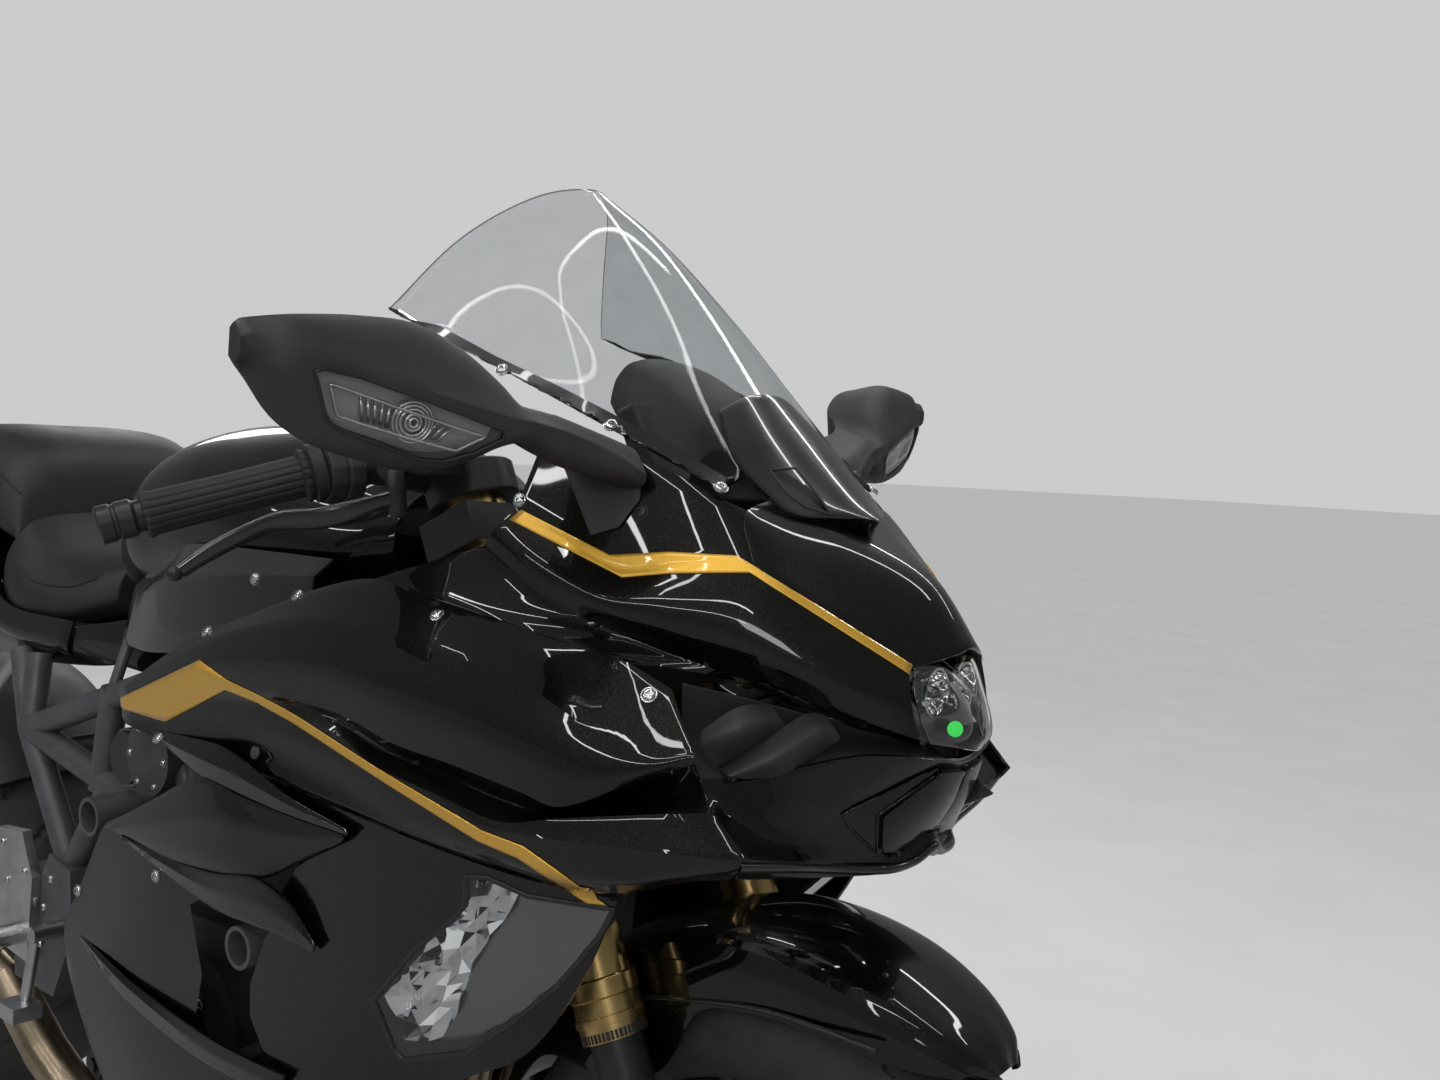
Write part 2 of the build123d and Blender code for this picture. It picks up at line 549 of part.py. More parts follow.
# Exhaust
headers = []
for y in (-102, -34, 34, 102):
    headers.append(pipe([(-454, y, 600), (-418, y, 585), (-412, y, 430), (-440, y, 310),
                         (-540, y * 0.7, 240), (-610, y * 0.7, 232)], 18))
collector = slab([(-600, 290), (-600, 180), (-640, 165), (-800, 165), (-825, 200), (-825, 270), (-790, 292)], -105, 105)
SILENCER_START = Vector(-1015, -190, 380)
SILENCER_END = Vector(-1500, -216, 503)
SILENCER_R = 62.0
silencer_run = (SILENCER_END - SILENCER_START).normalized()
mid_pipe = pipe([(-700, -90, 240), (-752, -188, 264), (-870, -193, 320), tuple(SILENCER_START - silencer_run * 45),
                 tuple(SILENCER_START + silencer_run * 8)], 23)
exhaust = join(headers + [collector, mid_pipe]).cut(engine, frame_right)
parts["exhaust_pipes"] = exhaust
silencer_in = SILENCER_START + silencer_run * 68
silencer_out = SILENCER_END - silencer_run * 62
silencer = join([cone(tuple(SILENCER_START), tuple(silencer_in), 34, SILENCER_R),
                 cyl(tuple(silencer_in), tuple(silencer_out), SILENCER_R),
                 cone(tuple(silencer_out), tuple(SILENCER_END), SILENCER_R, 46)])
silencer = silencer.cut(cyl(tuple(SILENCER_START - silencer_run * 5), tuple(SILENCER_START + silencer_run * 8), 23))
parts["silencer"] = silencer

# Rear wheel
REAR_BORE = REAR_AXLE_R + FIT
parts["rear_tyre"] = wheel_tyre(REAR_X, REAR_Z, REAR_TYRE_R, REAR_TYRE_W)
parts["rear_rim"] = wheel_rim(REAR_X, REAR_Z, REAR_TYRE_W, REAR_HUB_R, REAR_HUB_RIGHT, REAR_HUB_LEFT, REAR_BORE,
                              REAR_SPOKE_Y)
REAR_DISC_Y = REAR_HUB_LEFT + FIT + DISC_THICK / 2
parts["rear_disc"] = brake_disc(REAR_X, REAR_Z, REAR_DISC_R, REAR_DISC_Y, REAR_BORE)
sprocket_y0 = CHAIN_Y - SPROCKET_THICK / 2
sprocket_y1 = CHAIN_Y + SPROCKET_THICK / 2
nut_y = REAR_HUB_RIGHT - FIT
parts["rear_axle"] = join([
    cyl((REAR_X, sprocket_y0, REAR_Z), (REAR_X, sprocket_y1, REAR_Z), SPROCKET_R),
    cyl((REAR_X, nut_y, REAR_Z), (REAR_X, sprocket_y1 + 14, REAR_Z), REAR_AXLE_R),
    cyl((REAR_X, nut_y, REAR_Z), (REAR_X, nut_y - REAR_AXLE_NUT, REAR_Z), REAR_AXLE_NUT_R),
    cyl((REAR_X, sprocket_y1, REAR_Z), (REAR_X, sprocket_y1 + 14, REAR_Z), REAR_AXLE_NUT_R)])

# Single-sided swingarm on the left, with its pivot across the frame
arm = slab([(PIVOT_X + 42, PIVOT_Z + 30), (PIVOT_X + 42, PIVOT_Z - 34), (-1000, PIVOT_Z - 62),
            (REAR_X + 30, REAR_Z - ARM_HUB_R + 4), (REAR_X - 20, REAR_Z - ARM_HUB_R + 8),
            (REAR_X - 20, REAR_Z + ARM_HUB_R - 8), (REAR_X + 60, REAR_Z + ARM_HUB_R + 8),
            (-1150, PIVOT_Z + 46), (-960, PIVOT_Z + 52)], ARM_INNER_Y, ARM_OUTER_Y)
yoke = slab([(PIVOT_X + 42, PIVOT_Z + 30), (PIVOT_X + 42, PIVOT_Z - 34), (-1000, PIVOT_Z - 62), (-1085, PIVOT_Z - 50),
             (-1085, PIVOT_Z + 40), (-960, PIVOT_Z + 48)], -110, ARM_INNER_Y + 1)
hub = cyl((REAR_X, REAR_DISC_Y + DISC_THICK / 2 + 9, REAR_Z), (REAR_X, ARM_OUTER_Y, REAR_Z), ARM_HUB_R)
# Pad between the arm and the rear caliper
caliper_pad = slab([(REAR_X + 84, REAR_Z + 34), (REAR_X + 122, REAR_Z + 44), (REAR_X + 116, REAR_Z + 70),
                    (REAR_X + 80, REAR_Z + 68)], REAR_DISC_Y + CALIPER_HALF, ARM_INNER_Y + 1)
swingarm = join([arm, yoke, hub, caliper_pad])
swingarm = swingarm.cut(cyl((REAR_X, 0, REAR_Z), (REAR_X, 200, REAR_Z), REAR_AXLE_R + FIT))
swingarm = swingarm.cut(cyl((REAR_X, -200, REAR_Z), (REAR_X, 90, REAR_Z), REAR_TYRE_R + 8))
pivot_pin = cyl((PIVOT_X, PLATE_Y0 + 2, PIVOT_Z), (PIVOT_X, -PLATE_Y0 - 2, PIVOT_Z), 14)
swingarm = join([swingarm, pivot_pin]).cut(frame_right, parts["frame_left"])
parts["swingarm"] = swingarm

rear_caliper = caliper(REAR_X, REAR_Z, REAR_DISC_R, REAR_DISC_Y, 20, 62)
rear_caliper = rear_caliper.cut(swingarm)
parts["rear_caliper"] = rear_caliper

# Rear mudguard on the swingarm: angle about the rear axle
HUGGER_GAP = 21.0
HUGGER_R = REAR_TYRE_R + HUGGER_GAP
HUGGER_HALF = REAR_TYRE_W / 2 + 9
hugger_rows = []
for deg in (38, 58, 78, 98, 118, 134):
    a = math.radians(deg)
    row = []
    for y, drop in ((-HUGGER_HALF, 41), (2 - HUGGER_HALF, 19), (34 - HUGGER_HALF, 7), (0, 0), (HUGGER_HALF - 34, 7),
                    (HUGGER_HALF - 2, 19), (HUGGER_HALF, 41)):
        r = HUGGER_R - drop
        row.append((REAR_X + r * math.cos(a), y, REAR_Z + r * math.sin(a)))
    hugger_rows.append(row)
hugger = skin(hugger_rows, (REAR_X, 0, REAR_Z), 3)
hugger_leg = slab([(REAR_X + 218, 545), (REAR_X + 255, 572), (REAR_X + 310, 440), (REAR_X + 265, 430)], 101, 109)
parts["rear_hugger"] = join([hugger, hugger_leg]).cut(swingarm)

# Chain and its drive sprocket
c_front, c_rear = (DRIVE_X, DRIVE_Z), (REAR_X, REAR_Z)
chain_y0, chain_y1 = CHAIN_Y - CHAIN_WIDTH / 2, CHAIN_Y + CHAIN_WIDTH / 2
inner_f, inner_r = DRIVE_SPROCKET_R + CHAIN_GAP, SPROCKET_R + CHAIN_GAP
chain = loop_prism(c_front, inner_f + CHAIN_HEIGHT, c_rear, inner_r + CHAIN_HEIGHT, chain_y0, chain_y1).cut(
    loop_prism(c_front, inner_f, c_rear, inner_r, chain_y0 - 1, chain_y1 + 1))
parts["drive_chain"] = chain

# Rear shock absorber
SHOCK_TOP = (-905, 0, 640)
SHOCK_FOOT = (-950, 0, PIVOT_Z + 30)
shock = join([cyl(SHOCK_TOP, SHOCK_FOOT, 16), cyl((-912, 0, 612), (-942, 0, 492), 38),
              cyl((-905, -180, 648), (-905, 180, 648), 13)])
parts["rear_shock"] = shock.cut(swingarm, frame_right, parts["frame_left"])

# Seat rails
RAIL = [(-757, -150, 765), (-945, -148, 770), (-1080, -132, 792), (-1300, -105, 850), (-1480, -70, 880)]
rail = pipe(RAIL, SUBFRAME_TUBE_R)
stay = pipe([(-1000, -158, 745), (-1080, -132, 792)], SUBFRAME_TUBE_R)
rungs = [cyl((x, -y, z), (x, y, z), SUBFRAME_TUBE_R - 2) for x, y, z in ((-775, 148, 766), (-1090, 128, 795), (-1465, 70, 877))]
rails = join([rail, stay, flip(rail), flip(stay)] + rungs).cut(frame_right, parts["frame_left"])
parts["seat_rails"] = rails

# Fuel tank: x, then half width and height from the top middle round to the bottom middle
TANK = [
    (-420, [(0, 975), (58, 970), (92, 945), (100, 905), (84, 872), (0, 872)]),
    (-470, [(0, 1000), (78, 992), (120, 962), (140, 908), (120, 862), (0, 862)]),
    (-560, [(0, 1018), (92, 1008), (142, 970), (160, 905), (138, 846), (0, 846)]),
    (-660, [(0, 1020), (92, 1008), (140, 966), (158, 898), (132, 832), (0, 832)]),
    (-760, [(0, 1006), (80, 992), (120, 948), (136, 884), (116, 822), (0, 822)]),
    (-840, [(0, 972), (66, 958), (98, 922), (110, 868), (98, 816), (0, 816)]),
    (-880, [(0, 925), (52, 915), (80, 890), (90, 850), (84, 814), (0, 814)]),
]
tank = body(TANK).cut(frame_right, parts["frame_left"])
parts["fuel_tank"] = tank

# Tank side covers, between the tank and the side fairing: rows from the top edge down
SIDE_COVER = [
    [(-762, -126, 880), (-660, -164, 900), (-540, -172, 905), (-430, -160, 905)],
    [(-768, -160, 845), (-665, -184, 862), (-545, -192, 880), (-430, -180, 890)],
    [(-770, -172, 785), (-665, -196, 792), (-545, -200, 812), (-430, -186, 838)],
]
side_cover = skin(SIDE_COVER, (None, 0, None)).cut(frame_right, tank)
parts["tank_covers"] = Compound(children=[side_cover, flip(side_cover)])

# Seats
RIDER_SEAT = [
    (-884, [(0, 872), (60, 868), (92, 846), (100, 815), (90, 806), (0, 806)]),
    (-950, [(0, 846), (90, 842), (128, 822), (134, 798), (122, 790), (0, 790)]),
    (-1020, [(0, 840), (110, 840), (146, 822), (152, 800), (140, 790), (0, 790)]),
    (-1070, [(0, 856), (115, 860), (150, 838), (155, 808), (142, 806), (0, 806)]),
]
PILLION_SEAT = [
    (-1071, [(0, 952), (80, 948), (118, 918), (128, 872), (118, 862), (0, 862)]),
    (-1110, [(0, 975), (96, 970), (136, 935), (144, 888), (130, 872), (0, 872)]),
    (-1180, [(0, 992), (100, 986), (138, 955), (146, 912), (132, 898), (0, 898)]),
    (-1300, [(0, 994), (96, 988), (130, 962), (138, 928), (124, 916), (0, 916)]),
    (-1420, [(0, 984), (74, 978), (100, 960), (106, 940), (94, 930), (0, 930)]),
]
parts["rider_seat"] = body(RIDER_SEAT).cut(rails)
parts["pillion_seat"] = body(PILLION_SEAT).cut(rails)

# Tail: under tray with raised sides, then the tail tip
TAIL = [
    (-900, [(0, 788), (132, 788), (158, 792), (164, 760), (150, 748), (0, 748)]),
    (-1060, [(0, 788), (140, 788), (162, 800), (168, 768), (152, 752), (0, 752)]),
    (-1130, [(0, 860), (140, 862), (154, 862), (164, 800), (146, 765), (0, 765)]),
    (-1250, [(0, 895), (136, 897), (150, 895), (150, 830), (130, 800), (0, 800)]),
    (-1420, [(0, 928), (104, 928), (112, 922), (112, 870), (96, 848), (0, 848)]),
    (-1500, [(0, 945), (70, 940), (90, 922), (88, 888), (76, 876), (0, 876)]),
    (-1555, [(0, 930), (48, 926), (62, 912), (60, 896), (52, 890), (0, 890)]),
]
tail = body(TAIL)
hollow = body([
    (-890, [(0, 782), (126, 782), (140, 784), (140, 764), (130, 740), (0, 740)]),
    (-1060, [(0, 782), (126, 782), (140, 784), (140, 764), (130, 740), (0, 740)]),
    (-1130, [(0, 850), (126, 850), (134, 846), (140, 800), (126, 745), (0, 745)]),
    (-1250, [(0, 884), (120, 884), (134, 880), (132, 832), (112, 780), (0, 780)]),
    (-1420, [(0, 914), (88, 914), (96, 906), (96, 872), (80, 826), (0, 826)]),
    (-1490, [(0, 924), (56, 920), (74, 910), (74, 890), (62, 856), (0, 856)]),
])
tail = tail.cut(hollow, parts["rider_seat"], parts["pillion_seat"], rails, frame_right, parts["frame_left"])
parts["tail_cowl"] = tail
lamp = slab([(-1555 - FIT, 924), (-1555 - FIT, 892), (-1574, 896), (-1578, 912), (-1572, 922)], -50, 50)

# Grab rails
GRAB = [(-1190, -146, 900), (-1225, -176, 948), (-1390, -168, 968), (-1490, -120, 958), (-1520, -72, 930)]
grab = pipe(GRAB, 10)
parts["grab_rails"] = Compound(children=[rail.cut(tail, parts["pillion_seat"]) for rail in (grab, flip(grab))])

# Number plate hanger with the rear turn signals: its lower end stays above the rear mudguard
PLATE_GAP = 12.0
HANGER_LOW = [(-1640, 748), (-1786, 624), (TAIL_X + 14, 556), (TAIL_X, 556)]
hanger_lift = 0.0
for x, z in HANGER_LOW:
    reach = (HUGGER_R + PLATE_GAP) ** 2 - (x - REAR_X) ** 2
    if reach > 0:
        hanger_lift = max(hanger_lift, REAR_Z + math.sqrt(reach) - z)
hanger = join([
    slab([(-1450, 870), (-1500, 885), (-1520, 885), (-1640, 790 + hanger_lift), (-1800, 640 + hanger_lift),
          (TAIL_X, 560 + hanger_lift), (TAIL_X + 14, 556 + hanger_lift), (-1786, 624 + hanger_lift),
          (-1640, 748 + hanger_lift)], -28, 28),
    slab([(-1800, 660 + hanger_lift), (TAIL_X, 560 + hanger_lift), (TAIL_X + 8, 556 + hanger_lift),
          (-1794, 652 + hanger_lift)], -85, 85)])
hanger = hanger.cut(tail, rails)
parts["plate_hanger"] = hanger
signal = join([cyl((-1700, -28 - FIT, 735), (-1704, -70, 738), 8),
               across([(-62, [(-1712, 726), (-1690, 726), (-1690, 750), (-1712, 750)]),
                       (-150, [(-1718, 732), (-1704, 732), (-1704, 748), (-1718, 748)])])])
signal = Pos(0, 0, hanger_lift) * signal
parts["rear_lamps"] = Compound(children=[lamp, signal, flip(signal)])

# Upper cowl: rows from the lower edge to the middle of the top, columns from the cockpit to the nose
COWL_LOW = [(-215, -178, 935), (-150, -180, 904), (-99, -170, 887), (-45, -154, 872), (0, -134, 860), (45, -109, 846),
            (85, -81, 832), (114, -54, 820)]
COWL_MID = [(-202, -178, 950), (-146, -180, 926), (-92, -174, 907), (-45, -162, 903), (5, -142, 895), (50, -117, 874),
            (85, -88, 856), (108, -58, 846)]
COWL_STRIPE = [(-190, -168, 966), (-140, -163, 947), (-89, -154, 928), (-45, -140, 936), (8, -120, 936),
               (50, -93, 909), (80, -73, 888), (103, -56, 870)]
COWL_TOP = [(-174, -148, 1041), (-146, -145, 1033), (-110, -138, 1020), (-62, -122, 998), (-18, -98, 976),
            (28, -52, 955), (85, -24, 922), (121, -18, 880)]
COWL_CREST = [(-18, 0, 984), (28, 0, 962), (88, 0, 928), (124, 0, 884)]
AIM_COWL = (-120, 0, 850)
wing = skin([row[:5] for row in (COWL_LOW, COWL_MID, COWL_STRIPE, COWL_TOP)], AIM_COWL)
half = [row[4:] for row in (COWL_LOW, COWL_MID, COWL_STRIPE, COWL_TOP)]
nose = skin(half + [COWL_CREST] + [other_side(row) for row in half[::-1]], AIM_COWL)
cowl = join([nose, wing, flip(wing)])
parts["upper_cowl"] = cowl

# Head lamp in the nose: y, then x and z round the section
LAMP = [(46, [(92, 872), (116, 868), (124, 826), (100, 822)]), (20, [(96, 876), (132, 870), (140, 824), (100, 820)])]
headlamp = across([(y, ring) for y, ring in LAMP] + [(-y, ring) for y, ring in LAMP[::-1]]).cut(cowl)

# Chin: columns from the right side over the middle to the left, rows from the top edge down
CHIN_HALF = [
    [(10, -186, 776), (52, -150, 778), (78, -104, 786), (100, -58, 806)],
    [(12, -190, 745), (58, -148, 742), (90, -106, 737), (110, -58, 737)],
    [(-12, -168, 706), (22, -138, 713), (72, -98, 722), (104, -56, 722)],
]
CHIN_MID = [(110, 0, 812), (120, 0, 744), (114, 0, 728)]
chin = skin([half_row + [mid] + other_side(half_row)[::-1] for half_row, mid in zip(CHIN_HALF, CHIN_MID)],
            (-160, 0, 760)).cut(headlamp)
parts["chin_cowl"] = chin

# Side fairing, right: rows from the top edge down, columns from the rear tip to the front
SIDE = [
    [(-676, -222, 757), (-552, -214, 839), (-436, -200, 878), (-326, -192, 902), (-216, -190, 893), (-100, -190, 872),
     (-24, -182, 842), (2, -174, 812)],
    [(-672, -226, 752), (-548, -226, 812), (-432, -224, 842), (-322, -224, 860), (-212, -224, 848), (-98, -216, 826),
     (-22, -197, 812), (6, -176, 800)],
    [(-668, -227, 745), (-540, -231, 792), (-428, -237, 803), (-330, -239, 797), (-225, -235, 777), (-110, -223, 760),
     (-35, -206, 766), (4, -182, 782)],
    [(-664, -228, 738), (-530, -232, 764), (-425, -236, 774), (-320, -236, 760), (-225, -230, 744), (-120, -221, 745),
     (-40, -207, 748), (0, -196, 750)],
    [(-650, -230, 728), (-510, -238, 722), (-410, -238, 726), (-310, -236, 720), (-215, -230, 712), (-125, -216, 704),
     (-64, -198, 698), (-26, -182, 706)],
]
INWARD = (None, 0, None)
side_fairing = skin(SIDE, INWARD).cut(chin, cowl)

# Lower fairing, right, with the openings round the frame slider tube and the lamp
LOWER = [
    [(-606, -234, 730), (-508, -239, 719), (-410, -238, 722), (-310, -236, 716), (-215, -230, 708), (-125, -216, 700),
     (-46, -190, 694)],
    [(-666, -240, 632), (-560, -244, 625), (-445, -238, 625), (-335, -236, 625), (-240, -228, 625), (-150, -210, 625),
     (-80, -190, 622)],
    [(-702, -242, 566), (-590, -246, 562), (-470, -240, 562), (-370, -236, 562), (-280, -228, 562), (-205, -212, 560),
     (-128, -194, 556)],
    [(-736, -243, 500), (-620, -246, 500), (-490, -240, 502), (-400, -236, 505), (-325, -228, 508), (-262, -214, 508),
     (-204, -198, 508)],
    [(-700, -238, 412), (-600, -240, 402), (-505, -238, 398), (-425, -232, 398), (-365, -226, 402), (-320, -214, 408),
     (-288, -200, 418)],
    [(-655, -222, 330), (-585, -222, 318), (-505, -220, 308), (-440, -216, 306), (-395, -210, 310), (-355, -200, 320),
     (-330, -192, 336)],
    [(-620, -172, 226), (-560, -172, 216), (-500, -172, 210), (-450, -170, 210), (-415, -168, 216), (-385, -164, 226),
     (-365, -160, 246)],
]
LAMP_OUTLINE = [(-168, 688), (-60, 688), (-98, 619), (-150, 562), (-187, 546), (-241, 536), (-266, 568), (-203, 629)]
VENT = [(-600, 556), (-470, 586), (-412, 572), (-424, 520), (-442, 484), (-500, 500), (-590, 532)]
# Fins: outlines of x and z
FINS = [[(-603, 728), (-560, 730), (-473, 728), (-415, 719), (-300, 693), (-496, 704)],
        [(-657, 636), (-564, 617), (-461, 609), (-354, 604), (-325, 595), (-461, 594), (-564, 602), (-657, 622)],
        [(-708, 516), (-632, 508), (-492, 486), (-412, 478), (-367, 467), (-412, 464), (-492, 471), (-632, 492)]]
lower = skin(LOWER, INWARD)
lower = join([lower] + [slab(fin, -256, -232) for fin in FINS])
lower = biggest(lower.cut(slab(VENT, -300, -150), slab(LAMP_OUTLINE, -300, -150), side_fairing))
corner_lamp = biggest(skin(LOWER, INWARD, 26).intersect(slab(LAMP_OUTLINE, -300, -150)))
corner_lamp = biggest(corner_lamp.cut(side_fairing))
side_fairing = side_fairing.cut(frame_right, side_cover, radiator)
slider_holes = [cyl((x, -200, z), (x, -300, z), SLIDER_R + SLIDER_HOLE_GAP) for x, z in SLIDERS]
lower = biggest(lower.cut(frame_right, radiator, engine, *slider_holes))
parts["side_fairing_right"] = side_fairing
parts["side_fairing_left"] = flip(side_fairing)
parts["lower_fairing_right"] = lower
parts["lower_fairing_left"] = flip(lower)
parts["front_lamps"] = Compound(children=[headlamp, corner_lamp, flip(corner_lamp)])

# Windscreen: rows from its foot to its top, points from the right edge to the middle
SCREEN_HALF = [
    [(-36, -108, 992), (-34, -74, 1002), (-32, -36, 1006)],
    [(-123, -140, 1034), (-108, -96, 1062), (-98, -48, 1072)],
    [(-238, -150, 1078), (-190, -106, 1128), (-170, -54, 1144)],
    [(-310, -150, 1102), (-258, -104, 1172), (-236, -52, 1202)],
    [(-392, -138, 1130), (-352, -94, 1196), (-306, -46, 1238)],
]
SCREEN_MID = [(-31, 0, 1007), (-95, 0, 1075), (-163, 0, 1149), (-228, 0, 1211), (-280, 0, 1249)]
screen_rows = [h + [m] + other_side(h)[::-1] for h, m in zip(SCREEN_HALF, SCREEN_MID)]
screen = skin(screen_rows, (-330, 0, 930), 4).cut(cowl)
parts["windscreen"] = screen

# Cap over the foot of the screen
CAP_HALF = [[(-80, -58, 1052), (-76, -28, 1064)], [(-44, -78, 1012), (-36, -38, 1026)],
            [(0, -66, 976), (8, -32, 986)], [(20, -30, 972), (32, -14, 973)]]
CAP_MID = [(-74, 0, 1067), (-33, 0, 1030), (12, 0, 989), (38, 0, 972)]
cap = skin([h + [m] + other_side(h)[::-1] for h, m in zip(CAP_HALF, CAP_MID)], (-120, 0, 900))
cap_foot = cyl((6, 0, 984), (0, 0, 960), 14)
cap = biggest(join([cap, cap_foot]).cut(cowl, screen))
parts["screen_cap"] = cap

# Stay that carries the cowl, the instruments, the mirrors and the head lamp
stay_rear = Vector(steer_x(868), 0, 868)
fairing_stay = join(
    [pipe([(steer_x(866), s * 16, 866), (-110, s * 24, 946), (40, s * 24, 884), (98, s * 20, 852)], STAY_TUBE_R)
     for s in (-1, 1)]
    + [cyl((-110, -26, 946), (-110, 26, 946), STAY_TUBE_R)]
    + [pipe([(-110, s * 24, 946), (-118, s * 100, 990), (-124, s * 139, 1006)], STAY_TUBE_R) for s in (-1, 1)]
    + [pipe([(60, s * 22, 872), (60, s * 22, 800), (101, s * 22, 782)], STAY_TUBE_R) for s in (-1, 1)])
fairing_stay = fairing_stay.cut(cyl((steer_x(700), 0, 700), (steer_x(1000), 0, 1000), HEAD_TUBE_R + FIT),
                                cowl, headlamp, chin)
dash_face = [(-152, 1040), (-128, 1052), (-96, 974), (-120, 964)]
parts["fairing_stay"] = fairing_stay
dash = slab(dash_face, -86, 86)
dash_post = join([cyl((-110, s * 24, 946), (-112, s * 24, 975), 7) for s in (-1, 1)])
dash = join([dash, dash_post]).cut(fairing_stay, screen)
parts["instrument_panel"] = dash

# Mirrors: y, then x and z round the section
MIRROR_BACK = -192
MIRROR = [
    (-437, [(-182, 1044), (-182, 1066), (-168, 1072), (-158, 1066), (-156, 1048), (-166, 1040)]),
    (-420, [(MIRROR_BACK, 1024), (MIRROR_BACK, 1084), (-166, 1088), (-144, 1074), (-140, 1040), (-160, 1022)]),
    (-360, [(MIRROR_BACK, 1010), (MIRROR_BACK, 1092), (-160, 1096), (-128, 1076), (-122, 1028), (-150, 1006)]),
    (-300, [(MIRROR_BACK, 1008), (MIRROR_BACK, 1092), (-155, 1096), (-116, 1068), (-108, 1018), (-140, 1004)]),
    (-250, [(MIRROR_BACK, 1018), (MIRROR_BACK, 1082), (-155, 1084), (-116, 1062), (-106, 1026), (-136, 1014)]),
    (-225, [(-170, 1034), (-172, 1062), (-150, 1066), (-118, 1054), (-108, 1030), (-130, 1022)]),
    (-185, [(-156, 1020), (-158, 1040), (-140, 1044), (-104, 1036), (-92, 1016), (-116, 1008)]),
    (-140, [(-150, 1004), (-152, 1024), (-134, 1028), (-92, 1018), (-76, 998), (-104, 990)]),
]
mirror_right = biggest(across(MIRROR).cut(cowl, screen, fairing_stay))
parts["mirrors"] = Compound(children=[mirror_right, flip(mirror_right)])
GLASS = [(-408, 1030), (-408, 1078), (-330, 1086), (-262, 1076), (-262, 1024), (-330, 1016)]
glass_face = Face(Wire.make_polygon([(MIRROR_BACK, y, z) for y, z in GLASS], close=True))
glass = extrude(glass_face, amount=3, dir=(-1, 0, 0))
parts["mirror_glass"] = Compound(children=[glass, flip(glass)])
LENS = [(-395, 1052), (-268, 1040), (-268, 1022), (-300, 1012), (-385, 1028)]
lens_face = Face(Wire.make_polygon([(-160, y, z) for y, z in LENS], close=True))
lens = extrude(lens_face, amount=62, dir=(1, 0, 0))
lens_cut = across([(y, [(x + 4, z) for x, z in ring]) for y, ring in MIRROR[:6]])
lens = biggest(biggest(lens.intersect(lens_cut)).cut(mirror_right))
parts["mirror_signals"] = Compound(children=[lens, flip(lens)])

# Intake vanes between the cowl and the chin, on a backing wall
vane_wall = skin([[(-70, -160, 872), (-10, -128, 858), (55, -84, 838)],
                  [(-60, -172, 826), (0, -138, 818), (60, -84, 812)],
                  [(-52, -176, 784), (6, -142, 784), (62, -88, 788)]], (-400, 0, 820), 4)
VANES = [[(-20, -160, 858), (40, -142, 846), (56, -134, 826), (0, -158, 834)],
         [(10, -150, 822), (66, -106, 834), (78, -98, 814), (26, -142, 796)]]
vanes = [vane_wall]
for quad in VANES:
    front = [Vector(*p) for p in quad]
    rear = [p + Vector(-52, 10, 0) for p in front]
    vanes.append(solid_of(shell_faces([front, rear], None, True) + [
        Face(Wire.make_polygon([ring[0], ring[1], ring[2]], close=True)) for ring in (front, rear)] + [
        Face(Wire.make_polygon([ring[0], ring[2], ring[3]], close=True)) for ring in (front, rear)]))
vane_foot = pipe([(24, -118, 800), (24, -60, 800), (60, -22, 812)], 7)
vanes = join(vanes + [vane_foot]).cut(cowl, chin, side_fairing, fairing_stay, headlamp)
parts["intake_vanes"] = Compound(children=[vanes, flip(vanes)])

# Rider's footrest plates with pegs, brake pedal and gear lever
REST_PLATE = [(-962, 470), (-940, 430), (-876, 424), (-868, 520), (-892, 566), (-948, 560)]
plate = slab(REST_PLATE, PLATE_Y0 - FIT - 10, PLATE_Y0 - FIT)
peg = cyl((-912, PLATE_Y0 - FIT - 5, 446), (-912, -288, 446), 12)
rest = join([plate, peg])
pedal = join([cyl((-816, PLATE_Y0 - FIT, 476), (-816, -238, 476), 9),
              pipe([(-816, -232, 476), (-818, -242, 402)], 6), box(-836, -800, -262, -232, 392, 408)])

# Pillion footrests
PILLION_BRACKET = [(-1004, -166, 742), (-1100, -186, 640), (-1150, -190, 580)]
pillion = join([pipe(PILLION_BRACKET, 9), cyl((-1150, -190, 580), (-1162, -262, 584), 11)])
pillion = pillion.cut(frame_right, rails, tail)
parts["footrests"] = Compound(children=[rest, flip(rest), pillion, flip(pillion)])
parts["foot_levers"] = Compound(children=[pedal, flip(pedal)])

# Centre stand and its pivot brackets
BRACKET_Y = STAND_LEG_Y - STAND_TUBE_R - 2
stand_bracket = slab([(-886, 304), (-886, 274), (-838, 274), (-790, 310), (-790, 352), (-832, 352)], -BRACKET_Y,
                     -BRACKET_Y + 13)
bracket_pin = cyl((STAND_PIVOT_X, -STAND_LEG_Y - STAND_BOSS_HALF - 4, STAND_PIVOT_Z),
                  (STAND_PIVOT_X, -110, STAND_PIVOT_Z), STAND_PIN_R)
stand_bracket = join([stand_bracket, bracket_pin]).cut(exhaust, engine)
leg = join([cyl((STAND_PIVOT_X, -STAND_LEG_Y - STAND_BOSS_HALF, STAND_PIVOT_Z),
                (STAND_PIVOT_X, -STAND_LEG_Y + STAND_BOSS_HALF, STAND_PIVOT_Z), STAND_PIN_R + 9),
            cyl((STAND_PIVOT_X, -STAND_LEG_Y, STAND_PIVOT_Z), (STAND_FOOT_X, -STAND_LEG_Y, STAND_FOOT_HIGH - 3),
                STAND_TUBE_R),
            box(STAND_FOOT_X - 34, STAND_FOOT_X + 30, -STAND_LEG_Y - STAND_FOOT_HALF, -STAND_LEG_Y + STAND_FOOT_HALF,
                0, STAND_FOOT_HIGH)])
share = 0.45
bar_x = STAND_PIVOT_X + (STAND_FOOT_X - STAND_PIVOT_X) * share
